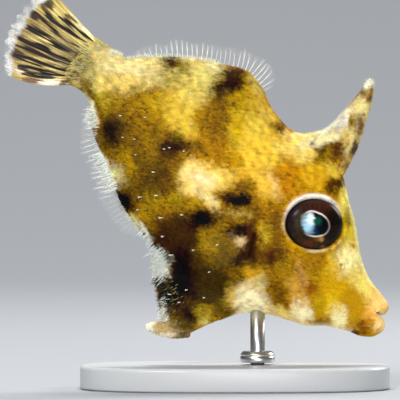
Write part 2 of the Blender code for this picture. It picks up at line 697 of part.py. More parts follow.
def main():
    clear_scene()
    skin = make_material("mottled_skin", (0.55, 0.38, 0.09), 0.6)
    fin_web = make_material("clear_fin_web", (0.85, 0.83, 0.7), 0.35)
    tail_web = make_material("striped_tail_web", (0.6, 0.45, 0.18), 0.4)
    bone = make_material("barbed_spine", (0.6, 0.48, 0.25), 0.5)
    eye = make_material("eye", (0.06, 0.035, 0.02), 0.08)
    lip = make_material("lip_skin", (0.8, 0.58, 0.25), 0.5)
    stand_paint = make_material("satin_grey_stand", (0.5, 0.5, 0.5), 0.4)
    steel = make_material("brushed_steel", (0.6, 0.6, 0.6), 0.3, 1.0)

    pose = bpy.data.objects.new("fish_pose", None)
    bpy.context.scene.collection.objects.link(pose)
    pose.location = (PIVOT_FORWARD * METRES, 0.0, PIVOT_HEIGHT * METRES)
    pose.rotation_euler = (0.0, math.radians(PITCH_DEG), 0.0)

    make_head(skin, pose)
    make_trunk(skin, pose)
    body_length("tail_stalk", STALK_CUT_S + GAP / 2, STANDARD_LENGTH, 6, skin, pose)
    make_lip("upper_lip", UPPER_LIP, lip, pose)
    make_lip("lower_lip", LOWER_LIP, lip, pose)
    for side, name in ((-1, "eye_right"), (1, "eye_left")):
        eyeball(name, side, 0.0, eye, pose)

    make_pelvic_scales(bone, pose)
    flap = make_flap(skin, pose)
    apply_boolean(flap, [grown_body(skin, pose), pelvic_core("grown_core", GAP, skin, pose)], "DIFFERENCE")

    spine = make_dorsal_spine(bone, pose)
    apply_boolean(spine, [grown_body(skin, pose)], "DIFFERENCE")
    web = make_web(fin_web, pose)
    apply_boolean(web, [grown_body(skin, pose), spine_shaft("grown_spine", GAP, skin, pose)], "DIFFERENCE")

    dorsal = edge_fin("soft_dorsal_fin", back, DORSAL_HEIGHT_LINE, DORSAL_START, DORSAL_END,
                      DORSAL_RAYS, 1, 0.9, fin_web, pose)
    anal = edge_fin("anal_fin", belly, ANAL_HEIGHT_LINE, ANAL_START, ANAL_END,
                    ANAL_RAYS, -1, 2.4, fin_web, pose)
    tail = make_tail_fin(tail_web, pose)
    for fin in (dorsal, anal, tail):
        apply_boolean(fin, [grown_body(skin, pose)], "DIFFERENCE")
    for side in (-1, 1):
        fin = make_pectoral(side, fin_web, pose)
        cutters = [grown_body(skin, pose), pectoral_lobe(side, GAP, skin, pose)]
        apply_boolean(fin, cutters, "DIFFERENCE")
    make_stand(skin, stand_paint, steel, pose)


main()
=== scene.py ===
# %% [markdown]
# # A young filefish, head down, on a small display stand
# The fish is 44.5 mm long without its tail fin. The photograph shows its right side, so the camera
# looks along +Y. Sizes are in millimetres in the fish's own frame: s runs back from the lower lip,
# h is the height over the body's axis, and y is the distance from the middle plane. One function turns
# such a place into metres in the frame of the solids.

import math

import bmesh
import bpy
import numpy as np
from mathutils import Matrix, Vector
from mathutils.kdtree import KDTree


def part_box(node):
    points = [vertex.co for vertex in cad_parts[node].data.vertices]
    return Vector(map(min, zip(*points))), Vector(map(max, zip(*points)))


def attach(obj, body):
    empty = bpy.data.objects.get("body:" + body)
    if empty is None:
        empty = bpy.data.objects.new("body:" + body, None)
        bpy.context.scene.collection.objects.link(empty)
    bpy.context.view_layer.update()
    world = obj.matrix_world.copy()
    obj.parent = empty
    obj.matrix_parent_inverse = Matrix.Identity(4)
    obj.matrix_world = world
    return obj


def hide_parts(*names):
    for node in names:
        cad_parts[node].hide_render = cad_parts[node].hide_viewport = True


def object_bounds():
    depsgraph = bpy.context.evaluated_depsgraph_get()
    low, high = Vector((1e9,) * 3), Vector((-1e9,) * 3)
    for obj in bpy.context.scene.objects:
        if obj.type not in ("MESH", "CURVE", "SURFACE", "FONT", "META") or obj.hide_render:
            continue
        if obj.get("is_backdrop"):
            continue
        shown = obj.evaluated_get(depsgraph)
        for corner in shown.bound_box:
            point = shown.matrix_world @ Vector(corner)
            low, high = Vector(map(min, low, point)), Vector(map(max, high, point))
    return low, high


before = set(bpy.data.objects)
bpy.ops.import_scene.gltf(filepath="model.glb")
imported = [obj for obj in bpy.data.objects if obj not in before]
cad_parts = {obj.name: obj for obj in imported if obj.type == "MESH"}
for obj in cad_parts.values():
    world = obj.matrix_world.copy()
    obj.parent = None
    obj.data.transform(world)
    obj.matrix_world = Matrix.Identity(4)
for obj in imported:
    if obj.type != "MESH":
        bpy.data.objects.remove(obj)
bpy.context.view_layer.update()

# %% [markdown]
# ## From the fish's frame to the world
# The snout points 40 degrees down. The pivot is the place in the fish that the pose turns about. The
# photograph's own frame is 400 pixels wide, and at the fish's length one pixel is 0.11 mm, so a mark
# that is read from the photograph by its pixel falls on the skin at a real place. The camera stands
# 400 mm away, so what is nearer to it shows a little larger. The cell also holds what all the shapes
# share: a smooth line through points, a soft step, a hill and a random field.

# %% Frame helpers
MM = 0.001
PITCH = math.radians(40.0)
PIVOT_S = 17.0
PIVOT_X, PIVOT_Z = 4.4, 18.5
PHOTO_PIXELS = 400
PIXEL_MM = 0.11
PHOTO_LEFT_X, PHOTO_TOP_Z = -25.83, 42.72
CAMERA_DISTANCE = 400.0


def to_world(s, y, h):
    """Arrays of places in the fish's frame, as an array of x, y, z in metres."""
    forward = PIVOT_S - np.asarray(s, float)
    h = np.asarray(h, float)
    x = forward * math.cos(PITCH) + h * math.sin(PITCH) + PIVOT_X
    z = h * math.cos(PITCH) - forward * math.sin(PITCH) + PIVOT_Z
    return np.stack([x, np.broadcast_to(y, x.shape), z], axis=-1) * MM


def photo_place(points):
    """The photograph's pixel that each point in mm lies behind; the left side mirrors the right."""
    nearer = CAMERA_DISTANCE / (CAMERA_DISTANCE - np.abs(points[..., 1]))
    middle = PHOTO_PIXELS / 2
    px = (points[..., 0] - PHOTO_LEFT_X) / PIXEL_MM - middle
    py = (PHOTO_TOP_Z - points[..., 2]) / PIXEL_MM - middle
    return middle + px * nearer, middle + py * nearer


def smooth_line(points):
    """A function through the points that doesn't overshoot them."""
    xs, ys = (np.array(v, float) for v in zip(*points))
    step = np.diff(xs)
    slope = np.diff(ys) / step
    product = slope[:-1] * slope[1:]
    inner = np.where(product > 0, 2 * product / np.where(product > 0, slope[:-1] + slope[1:], 1.0), 0.0)
    tangent = np.concatenate([slope[:1], inner, slope[-1:]])

    def value(x):
        x = np.clip(np.asarray(x, float), xs[0], xs[-1])
        i = np.clip(np.searchsorted(xs, x, side="right") - 1, 0, len(step) - 1)
        t = (x - xs[i]) / step[i]
        near = ys[i] * (1 + 2 * t) * (1 - t) ** 2 + tangent[i] * step[i] * t * (1 - t) ** 2
        return near + ys[i + 1] * t * t * (3 - 2 * t) + tangent[i + 1] * step[i] * t * t * (t - 1)

    return value


def smooth_step(low, high, x):
    t = np.clip((x - low) / (high - low), 0.0, 1.0)
    return t * t * (3 - 2 * t)


def hill(x, centre, spread):
    """1 at the centre, falling smoothly to 0 on both sides."""
    return np.exp(-((x - centre) / spread) ** 2)


def unit(ways):
    return ways / np.linalg.norm(ways, axis=-1, keepdims=True)


def ripple(points, wavelength, seed, waves=16):
    """A smooth random field over points in mm, about -1 to 1, as a sum of seeded plane waves."""
    draw = np.random.default_rng(seed)
    total = np.zeros(points.shape[:-1])
    for _ in range(waves):
        direction = draw.normal(size=3)
        direction *= 2 * math.pi / (wavelength * draw.uniform(0.7, 1.5) * np.linalg.norm(direction))
        total += np.sin(points @ direction + draw.uniform(0, 2 * math.pi))
    return total / math.sqrt(waves)


# %% [markdown]
# ## Materials
# Every colour is an sRGB hex value that one function turns to linear light. One small function adds a
# node, sets what is plain on it and links the rest. The short functions after it are the steps that
# most materials share, with their grain and depth in real sizes.

# %% Material helpers
def linear(hex_code):
    """An sRGB hex colour as linear red, green, blue and 1."""
    values = [int(hex_code[i : i + 2], 16) / 255 for i in (1, 3, 5)]
    return (*[v / 12.92 if v <= 0.04045 else ((v + 0.055) / 1.055) ** 2.4 for v in values], 1.0)


def rgb(hex_code):
    """The same colour as an array of linear red, green and blue."""
    return np.array(linear(hex_code)[:3])


def blend(colours, other, weight):
    """Moves an array of colours towards another colour in place."""
    colours += (other - colours) * weight[..., None]


def add_node(tree, kind, inputs=None, **settings):
    """One node with its settings; an input is a plain value or another node's output socket."""
    node = tree.nodes.new(kind)
    for name, value in settings.items():
        setattr(node, name, value)
    for name, value in (inputs or {}).items():
        sockets = [s for s in node.inputs if s.enabled and s.name == name]
        socket = node.inputs[name] if isinstance(name, int) else sockets[0]
        if isinstance(value, bpy.types.NodeSocket):
            tree.links.new(value, socket)
        else:
            socket.default_value = value
    return node


def new_material(name, **plain):
    """A material with one Principled shader, and the plain values of its sockets."""
    material = bpy.data.materials.new(name)
    material.use_nodes = True
    shader = material.node_tree.nodes["Principled BSDF"]
    for socket, value in plain.items():
        shader.inputs[socket.replace("_", " ")].default_value = value
    return material, material.node_tree, shader


def feed(tree, shader, **outputs):
    """Links outputs of other nodes to the shader's sockets."""
    for socket, output in outputs.items():
        tree.links.new(output, shader.inputs[socket.replace("_", " ")])


def object_place(tree):
    return add_node(tree, "ShaderNodeTexCoord").outputs["Object"]


def vertex_colour(tree, name):
    """The colour and the alpha that a mesh carries under a name."""
    outputs = add_node(tree, "ShaderNodeAttribute", attribute_name=name).outputs
    return outputs["Color"], outputs["Alpha"]


def noise(tree, place, spacing, detail=2.0):
    """A grey noise whose grains are a real distance apart."""
    inputs = {"Vector": place, "Scale": 1 / spacing, "Detail": detail}
    return add_node(tree, "ShaderNodeTexNoise", inputs).outputs["Fac"]


def map_range(tree, value, low, high, from_low=0.0, from_high=1.0):
    inputs = {"Value": value, "From Min": from_low, "From Max": from_high, "To Min": low, "To Max": high}
    return add_node(tree, "ShaderNodeMapRange", inputs).outputs[0]


def vector_math(tree, operation, first, second):
    """One step of vector arithmetic; for SCALE the second is a plain number."""
    inputs = {0: first, "Scale" if operation == "SCALE" else 1: second}
    return add_node(tree, "ShaderNodeVectorMath", inputs, operation=operation).outputs[0]


def add_bump(tree, shader, height, strength, depth):
    inputs = {"Height": height, "Strength": strength, "Distance": depth}
    feed(tree, shader, Normal=add_node(tree, "ShaderNodeBump", inputs).outputs[0])


# %% [markdown]
# ## Meshes from arrays
# The skin and the fins are grids of computed points, so they go into a mesh in one call each.

# %% Mesh helpers
def new_object(name, data):
    piece = bpy.data.objects.new(name, data)
    bpy.context.scene.collection.objects.link(piece)
    return piece


def mesh_piece(name, points, faces, material, closed=True):
    """A smooth mesh object from an array of points in metres; a closed one is turned outwards."""
    mesh = bpy.data.meshes.new(name)
    mesh.from_pydata(points.reshape(-1, 3).tolist(), [], faces)
    mesh.update()
    mesh.shade_smooth()
    mesh.materials.append(material)
    if closed:
        work = bmesh.new()
        work.from_mesh(mesh)
        bmesh.ops.recalc_face_normals(work, faces=work.faces)
        work.to_mesh(mesh)
        work.free()
    return new_object(name, mesh)


def grid_quads(rows, columns, wrap=False):
    """Quads of a grid whose points are stored row by row."""
    last = columns if wrap else columns - 1
    i, j = np.meshgrid(np.arange(rows - 1), np.arange(last), indexing="ij")
    a, b = i * columns + j, i * columns + (j + 1) % columns
    return np.stack([a, b, b + columns, a + columns], axis=-1).reshape(-1, 4)


def tube_faces(rings, sides):
    """Quads of a tube of rings, and one face on each of its ends."""
    ends = [tuple(range(sides - 1, -1, -1)), tuple(range((rings - 1) * sides, rings * sides))]
    return grid_quads(rings, sides, wrap=True).tolist() + ends


def paint(piece, name, colours):
    """A colour for each vertex; colours hold linear red, green, blue, and alpha if it has one."""
    colours = np.asarray(colours, np.float32)
    if colours.shape[-1] == 3:
        colours = np.concatenate([colours, np.ones((*colours.shape[:-1], 1), np.float32)], axis=-1)
    attribute = piece.data.color_attributes.new(name, "FLOAT_COLOR", "POINT")
    attribute.data.foreach_set("color", colours.reshape(-1))


def number(piece, name, values):
    """A plain number for each vertex."""
    attribute = piece.data.attributes.new(name, "FLOAT", "POINT")
    attribute.data.foreach_set("value", np.asarray(values, np.float32).reshape(-1))


# %% [markdown]
# ## The skin's shape
# The lines of the back, the belly and the width are those of the solids. One closed grid of rings runs
# from the slit of the mouth over both lips, along the body to the root of the tail fin. The flap under
# the belly and the web behind the dorsal spine are thin parts of the same skin.

# %% Lines of the body
STANDARD_LENGTH = 44.5
KEEL_SHARPNESS = 1.2
MUZZLE_S = 2.6
STALK_END_S = 45.4
BACK_LINE = [
    (2.6, 1.3), (4.4, 1.72), (6.4, 2.62), (8.5, 4.25), (10.4, 5.85), (11.75, 6.75), (13.4, 8.0),
    (14.9, 8.95), (17.0, 9.3), (19.5, 9.25),
    (22.5, 8.85), (25.2, 9.35), (27.7, 10.5), (29.4, 10.75), (32.8, 9.45), (36.6, 7.1),
    (39.3, 4.9), (41.3, 3.05), (STANDARD_LENGTH, 3.05), (STALK_END_S, 2.6),
]
BELLY_LINE = [
    (2.6, -4.1), (5.1, -5.45), (7.2, -6.95), (8.95, -7.65), (10.65, -8.4), (12.1, -9.3),
    (13.2, -10.0), (15.5, -10.5),
    (20.0, -10.9), (25.0, -10.8), (28.5, -10.3), (31.5, -9.4), (34.0, -7.9), (35.7, -6.9),
    (37.5, -6.2), (38.9, -5.3), (40.0, -4.1), (41.3, -3.1), (42.5, -2.95), (STANDARD_LENGTH, -3.45),
    (STALK_END_S, -3.2),
]
HALF_WIDTH_LINE = [
    (2.6, 1.25), (4.5, 1.6), (6.5, 2.1), (9.5, 2.95), (12.5, 3.6), (16.0, 4.0), (20.0, 4.15),
    (24.0, 4.0), (28.0, 3.5), (32.0, 2.8), (36.0, 2.0), (40.0, 1.4), (STANDARD_LENGTH, 1.0),
    (STALK_END_S, 0.4),
]
WIDEST_HEIGHT_LINE = [
    (2.6, -1.3), (6.0, -1.6), (10.0, -1.0), (14.0, -0.4), (20.0, -0.6), (30.0, 0.2),
    (38.0, 0.0), (STALK_END_S, -0.2),
]
PELVIC_EDGE = [
    (12.7, -9.8), (13.4, -10.55), (13.9, -11.35), (14.35, -12.2), (14.85, -13.05), (15.65, -14.7),
    (16.5, -16.2), (17.6, -17.3),
]
FLAP_REAR_EDGE = [
    (18.4, -17.3), (19.5, -16.5), (21.6, -14.7), (23.2, -13.5), (24.2, -12.4), (25.2, -11.3), (26.4, -10.5),
]
WEB_TOP = [
    (14.9, 8.9), (15.4, 9.6), (15.85, 11.3), (16.5, 13.3), (17.3, 15.3), (17.95, 16.9), (18.5, 17.8),
    (18.85, 17.3), (18.8, 15.4), (18.66, 13.6), (19.1, 11.6), (19.95, 10.1), (20.7, 9.4), (22.0, 8.85),
]
SPINE_ROOT, SPINE_TIP, SPINE_BOW = (15.1, 8.2), (18.75, 18.4), 0.45
back, belly = smooth_line(BACK_LINE), smooth_line(BELLY_LINE)
half_width, widest_height = smooth_line(HALF_WIDTH_LINE), smooth_line(WIDEST_HEIGHT_LINE)
flap_edge = smooth_line(PELVIC_EDGE + FLAP_REAR_EDGE)
web_top = smooth_line(WEB_TOP)
pelvic_s = smooth_line([(-h, s) for s, h in PELVIC_EDGE])
flap_rear_s = smooth_line([(-h, s) for s, h in FLAP_REAR_EDGE[::-1]])


def spine_middle(t):
    """The middle line of the first dorsal spine: t is 0 at its root and 1 at its tip."""
    t = np.asarray(t, float)
    s = SPINE_ROOT[0] + (SPINE_TIP[0] - SPINE_ROOT[0]) * t - SPINE_BOW * np.sin(math.pi * t)
    return s, SPINE_ROOT[1] + (SPINE_TIP[1] - SPINE_ROOT[1]) * t


# %% [markdown]
# A ring's points are spread evenly along the skin, so that no part of it is coarse. A fixed number of
# them lies on the crest of the back, where the web of the spine rises, so that the web doesn't pull at
# the points of the flank.

# %% One half of a ring
HALF_RING = 240
CREST_POINTS, CREST_MM, CREST_SHARE = 44, 0.5, 0.1
WEB_POINTS, UPPER_POINTS, LOWER_POINTS = 160, 140, 260
WEB_HALF_THICKNESS, WEB_THINNER, WEB_FOOT, WEB_FOOT_HEIGHT = 0.34, 0.1, 0.5, 0.45
WEB_AT_SPINE, WEB_BEHIND, WEB_SWELL, WEB_REAR = 0.3, 0.35, 0.75, 19.3
FLAP_START = PELVIC_EDGE[0][0] - 0.15
FLAP_HALF_THICKNESS, FLAP_AT_BELLY, FLAP_THINNER, FLAP_THINNEST = 0.72, 0.6, 0.72, 0.26


def spread_ring(curve, web_height=0.0):
    """A ring's points at equal steps along a dense curve, those of the crest apart from the rest."""
    length = np.concatenate([[0.0], np.cumsum(np.linalg.norm(np.diff(curve, axis=0), axis=1))])
    split = web_height + min(CREST_MM, CREST_SHARE * (length[-1] - web_height))
    crest = np.linspace(0.0, split, CREST_POINTS, endpoint=False)
    at = np.concatenate([crest, np.linspace(split, length[-1], HALF_RING - CREST_POINTS)])
    return np.stack([np.interp(at, length, curve[:, k]) for k in range(curve.shape[1])], axis=1)


def keel(share):
    """The half width as a share of the widest: share is 0 at the body's middle and 1 at its edge."""
    share = np.clip(share, 0.0, 1.0)
    return (1 - share * share) ** (KEEL_SHARPNESS / 2)


def web_half_thickness(s, h, rise, height):
    """Thick along the spine and at the foot, and thin at the rear edge."""
    behind = s - spine_middle((h - SPINE_ROOT[1]) / (SPINE_TIP[1] - SPINE_ROOT[1]))[0]
    thick = WEB_HALF_THICKNESS - WEB_THINNER * rise / height
    thick += WEB_AT_SPINE * hill(behind, WEB_BEHIND, WEB_SWELL) * (rise > 0)
    thick = (thick + WEB_FOOT * np.exp(-rise / WEB_FOOT_HEIGHT)) * min(1.0, height / 0.5)
    if s < WEB_REAR:
        thick *= np.sqrt(np.clip((WEB_REAR - s) / 0.5, 0.15, 1.0))
    return np.maximum(thick, 0.01)


def flap_half_thickness(s, h, depth_share):
    """Thick along the pelvic bone and at the belly, and thin at the rear edge."""
    front, rear = pelvic_s(-h), flap_rear_s(-h)
    share = np.clip((s - front) / np.maximum(rear - front, 0.1), 0.0, 1.0)
    thick = (FLAP_HALF_THICKNESS + FLAP_AT_BELLY * (1 - depth_share) ** 2) * (1 - FLAP_THINNER * share ** 1.3)
    return np.maximum(thick, FLAP_THINNEST) * smooth_step(FLAP_START, FLAP_START + 2.0, s)


def with_sheet(body_y, thick, from_edge):
    """Half widths of the body and of a sheet with a round edge, as one soft shape."""
    near = np.clip(from_edge / (0.9 * thick), 0.0, 1.0)
    sheet_y = thick * np.sqrt(1 - (1 - near) ** 2)
    return (body_y ** 4 + sheet_y ** 4) ** 0.25


def body_half_ring(s):
    """From the crest of the back to the lowest edge at one station."""
    middle, wide = float(widest_height(s)), float(half_width(s))
    top, bottom = float(back(s)), float(belly(s))
    has_web = WEB_TOP[0][0] < s < WEB_TOP[-1][0]
    has_flap = FLAP_START < s < FLAP_REAR_EDGE[-1][0]
    crest = max(top, float(web_top(s))) if has_web else top
    edge = min(bottom, float(flap_edge(s))) if has_flap else bottom
    web = np.linspace(crest, top, WEB_POINTS)[:-1] if crest > top else np.empty(0)
    upper = middle + (top - middle) * np.sin(np.linspace(math.pi / 2, 0.0, UPPER_POINTS))
    high = np.concatenate([web, upper])
    high_y = wide * keel((high - middle) / (top - middle))
    if crest > top:
        thick = web_half_thickness(s, high, np.maximum(high - top, 0.0), crest - top)
        high_y = with_sheet(high_y, thick, crest - high)
    low = middle - (middle - edge) * np.sin(np.linspace(0.0, math.pi / 2, LOWER_POINTS))[1:]
    low_y = wide * keel((middle - low) / (middle - bottom))
    if has_flap:
        depth_share = np.clip((bottom - low) / max(bottom - edge, 0.05), 0.0, 1.0)
        low_y = with_sheet(low_y, flap_half_thickness(s, low, depth_share), low - edge)
    curve = np.stack([np.concatenate([high_y, low_y]), np.concatenate([high, low])], axis=1)
    curve[0, 0] = curve[-1, 0] = 0.0
    return np.column_stack([np.full(HALF_RING, s), spread_ring(curve, crest - top)])


# %% [markdown]
# The lips are rings too. Their upper and lower ends run forwards over the lips and back into the slit,
# while the corners of the mouth stay behind, so the lips bulge and the mouth has a real line.

# %% Rings of the lips
UPPER_LIP_S = [(0.0, 1.6), (0.15, 1.28), (0.35, 1.04), (0.55, 1.12), (0.8, 1.72), (1.0, 2.6)]
UPPER_LIP_H = [(0.0, -0.5), (0.15, -0.42), (0.35, 0.0), (0.55, 0.55), (0.8, 1.05), (1.0, 1.3)]
LOWER_LIP_S = [(0.0, 1.6), (0.15, 0.95), (0.35, 0.3), (0.5, 0.06), (0.7, 0.42), (0.85, 1.4), (1.0, 2.6)]
LOWER_LIP_H = [
    (0.0, -0.56), (0.15, -0.62), (0.35, -0.98), (0.5, -1.6), (0.7, -2.7), (0.85, -3.55), (1.0, -4.1),
]
LIP_ENDS = [smooth_line(line) for line in (UPPER_LIP_S, UPPER_LIP_H, LOWER_LIP_S, LOWER_LIP_H)]
MOUTH_MIDDLE_H = -0.53
MOUTH_CORNER_S = smooth_line([(0.0, 2.45), (0.5, 2.0), (1.0, 2.6)])
MOUTH_HALF_WIDTH = smooth_line([(0.0, 0.7), (0.3, 0.95), (0.6, 1.12), (1.0, 1.25)])
LIP_RINGS, LIP_POINTS, LIP_BULGE = 26, 241, 1.3


def lip_half_ring(u):
    """One ring of the lips: u is 0 at the slit and 1 at the muzzle."""
    turn = np.linspace(math.pi / 2, -math.pi / 2, LIP_POINTS)
    rise = np.sin(turn)
    middle = MOUTH_MIDDLE_H + (float(widest_height(MUZZLE_S)) - MOUTH_MIDDLE_H) * u ** 2
    upper_s, upper_h, lower_s, lower_h = (float(line(u)) for line in LIP_ENDS)
    corner, wide = float(MOUTH_CORNER_S(u)), float(MOUTH_HALF_WIDTH(u))
    end_s, end_h = np.where(rise > 0, upper_s, lower_s), np.where(rise > 0, upper_h, lower_h)
    h = middle + (end_h - middle) * np.abs(rise)
    s = corner + (end_s - corner) * np.abs(rise) ** LIP_BULGE
    y = wide * np.maximum(np.cos(turn), 0.0) ** KEEL_SHARPNESS
    return spread_ring(np.stack([s, y, h], axis=1))


# %% [markdown]
# The rings of the lips and of the body make one grid. The left half of each ring mirrors the right half,
# without the two points on the middle plane, which both halves share.

# %% Assemble the grid
RING_STEP_MM = 0.125
halves = [lip_half_ring(u) for u in np.linspace(0.0, 1.0, LIP_RINGS)[:-1]]
stations = np.linspace(MUZZLE_S, STALK_END_S, int((STALK_END_S - MUZZLE_S) / RING_STEP_MM))
halves += [body_half_ring(s) for s in stations]
halves = np.array(halves)
fish_grid = np.concatenate([halves * [1, -1, 1], halves[:, -2:0:-1]], axis=1)
print("skin grid:", fish_grid.shape[:2])

# %% [markdown]
# ## Relief on the skin
# The rim and the socket of each eye, the nostrils, the gill slit and the fleshy root of each pectoral
# fin are pushed out of the grid or into it. Each has its place in the fish's frame. The eye's own frame
# is measured here too, and compared with the solids' eyes.

# %% Places on the side of the skin
EYE_S, EYE_H = 13.4, 2.5
EYE_HALF_LENGTH, EYE_HALF_HEIGHT, EYE_HALF_DEPTH = 3.28, 2.8, 1.65
EYE_SKIN_LEVEL = 0.9


def skin_depth(s, h):
    """Distance from the middle plane to the plain skin, in side view."""
    middle = widest_height(s)
    reach = np.where(h >= middle, back(s) - middle, middle - belly(s))
    return half_width(s) * keel(np.abs(h - middle) / reach)


def skin_frame(s, h, side):
    """A place on the skin and its outward direction, both in world axes, in mm."""
    step = 0.1
    depth = float(skin_depth(s, h))
    along = float(skin_depth(s + step, h) - skin_depth(s - step, h)) / (2 * step)
    upward = float(skin_depth(s, h + step) - skin_depth(s, h - step)) / (2 * step)
    place = Vector(to_world(s, side * depth, h) / MM)
    out = Matrix.Rotation(PITCH, 3, "Y") @ Vector((along, side, -upward)).normalized()
    return place, out


def eye_frame(side):
    """The eye's centre, and its length, height and outward directions in world axes."""
    place, out = skin_frame(EYE_S, EYE_H, side)
    centre = place - out * EYE_SKIN_LEVEL
    length = (Vector((1, 0, 0)) - out * out.x).normalized()
    height = out.cross(length) * -side
    return centre, length, height, out


for side, node in ((-1, "eye_right"), (1, "eye_left")):
    low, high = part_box(node)
    print(node, "solid's centre", [round(500 * (a + b), 2) for a, b in zip(low, high)],
          "this frame's", [round(c, 2) for c in eye_frame(side)[0]])

# %% [markdown]
# Each relief is a hill or a hollow of a few tenths of a millimetre along the skin's outward direction. A
# low random ripple keeps the flanks from looking machined, and under the coat the skin lies a little
# deeper, so that the tips of the coat end where the solids do.

# %% Push the relief into the grid
COAT_DEPTH = 0.13
SKIN_RIPPLES = [(0.035, 2.6, 3), (0.02, 1.1, 4)]
RIM_HEIGHT, RIM_CENTRE, RIM_SPREAD = 0.34, 0.36, 0.26
SOCKET_DEPTH = 1.25
NOSTRILS = [(8.25, 0.9, 0.2, 1.0), (7.7, 1.6, 0.2, 0.35)]
NOSTRIL_RIM, NOSTRIL_HOLE = 0.07, 0.25
SLIT_S, SLIT_H, SLIT_HALF_LENGTH, SLIT_SPREAD, SLIT_LEAN = 17.15, -3.7, 1.5, 0.2, math.radians(30)
SLIT_DEPTH, SLIT_LIP, SLIT_LIP_AHEAD, SLIT_LIP_SPREAD = 0.75, 0.16, 0.45, 0.3
LOBE_S, LOBE_H, LOBE_HALF_LENGTH, LOBE_HALF_HEIGHT, LOBE_OUT = 18.5, -4.25, 0.8, 0.9, 0.5
SIDE_FROM_Y, EYE_FROM_Y = 0.3, 0.4


def grid_normals(points):
    """Outward unit normals of the closed grid."""
    down_body = np.gradient(points, axis=0)
    around = np.roll(points, -1, axis=1) - np.roll(points, 1, axis=1)
    normal = np.cross(around, down_body)
    normal /= np.linalg.norm(normal, axis=-1, keepdims=True) + 1e-12
    outward = points - points.mean(axis=1, keepdims=True)
    return normal * np.sign((normal * outward).sum(-1).mean())


def eye_distance(points, side):
    """Distance outside the eye's outline in mm, and the angle round it, on one side of the fish."""
    centre, length, height, out = eye_frame(side)
    offset = points - np.array(centre)
    a, b = offset @ np.array(length) / EYE_HALF_LENGTH, offset @ np.array(height) / EYE_HALF_HEIGHT
    gap = (np.hypot(a, b) - 1) * (EYE_HALF_LENGTH + EYE_HALF_HEIGHT) / 2
    return np.where(points[..., 1] * side > EYE_FROM_Y, gap, 99.0), np.arctan2(b, a)


s_grid, y_grid, h_grid = fish_grid[..., 0], fish_grid[..., 1], fish_grid[..., 2]
skin_points = to_world(s_grid, y_grid, h_grid) / MM
normals = grid_normals(skin_points)
from_slit = (s_grid - SLIT_S) * math.cos(SLIT_LEAN) - (h_grid - SLIT_H) * math.sin(SLIT_LEAN)
along_slit = (s_grid - SLIT_S) * math.sin(SLIT_LEAN) + (h_grid - SLIT_H) * math.cos(SLIT_LEAN)
within_slit = 1 - smooth_step(0.75, 1.1, np.abs(along_slit) / SLIT_HALF_LENGTH)
on_web = smooth_step(0.0, 0.5, h_grid - back(s_grid))
lift = -COAT_DEPTH * smooth_step(1.0, 4.0, s_grid) * (1 - on_web)
for height, wavelength, seed in SKIN_RIPPLES:
    lift += height * ripple(skin_points, wavelength, seed)
for side in (-1, 1):
    on_side = y_grid * side > SIDE_FROM_Y
    for s0, h0, radius, deep in NOSTRILS:
        away = np.hypot(s_grid - s0, h_grid - h0) / radius
        lift += on_side * deep * (NOSTRIL_RIM * hill(away, 1.5, 0.6) - NOSTRIL_HOLE * hill(away, 0, 0.75))
    lift += on_side * within_slit * SLIT_LIP * hill(from_slit, -SLIT_LIP_AHEAD, SLIT_LIP_SPREAD)
    lift -= on_side * within_slit * SLIT_DEPTH * hill(from_slit, 0, SLIT_SPREAD)
    lobe = np.hypot((s_grid - LOBE_S) / LOBE_HALF_LENGTH, (h_grid - LOBE_H) / LOBE_HALF_HEIGHT)
    lift += on_side * LOBE_OUT * hill(lobe, 0, 1)
skin_points += normals * lift[..., None]
for side in (-1, 1):
    gap, _ = eye_distance(skin_points, side)
    out = np.array(eye_frame(side)[3])
    socket = SOCKET_DEPTH * (1 - smooth_step(-0.3, 0.05, gap))
    skin_points += out * (RIM_HEIGHT * hill(gap, RIM_CENTRE, RIM_SPREAD) - socket)[..., None]
print("deepest and highest relief in mm:", round(float(lift.min()), 2), round(float(lift.max()), 2))

# %% [markdown]
# ## Markings
# A young filefish matches weed and coral: golden yellow to cream, with olive and near-black blotches
# whose edges are frayed. Each marking has a place and two radii in the photograph's pixels, a turn in
# degrees, a colour, a strength and the softness of its edge. The list is in painting order, in groups.
# Its edge is frayed by fine hairs that run outwards. The film of water on the skin adds some white
# light, so the pigment under it is set deeper by that much. The same function colours the skin, the
# coat and the spine, on both sides of the fish.

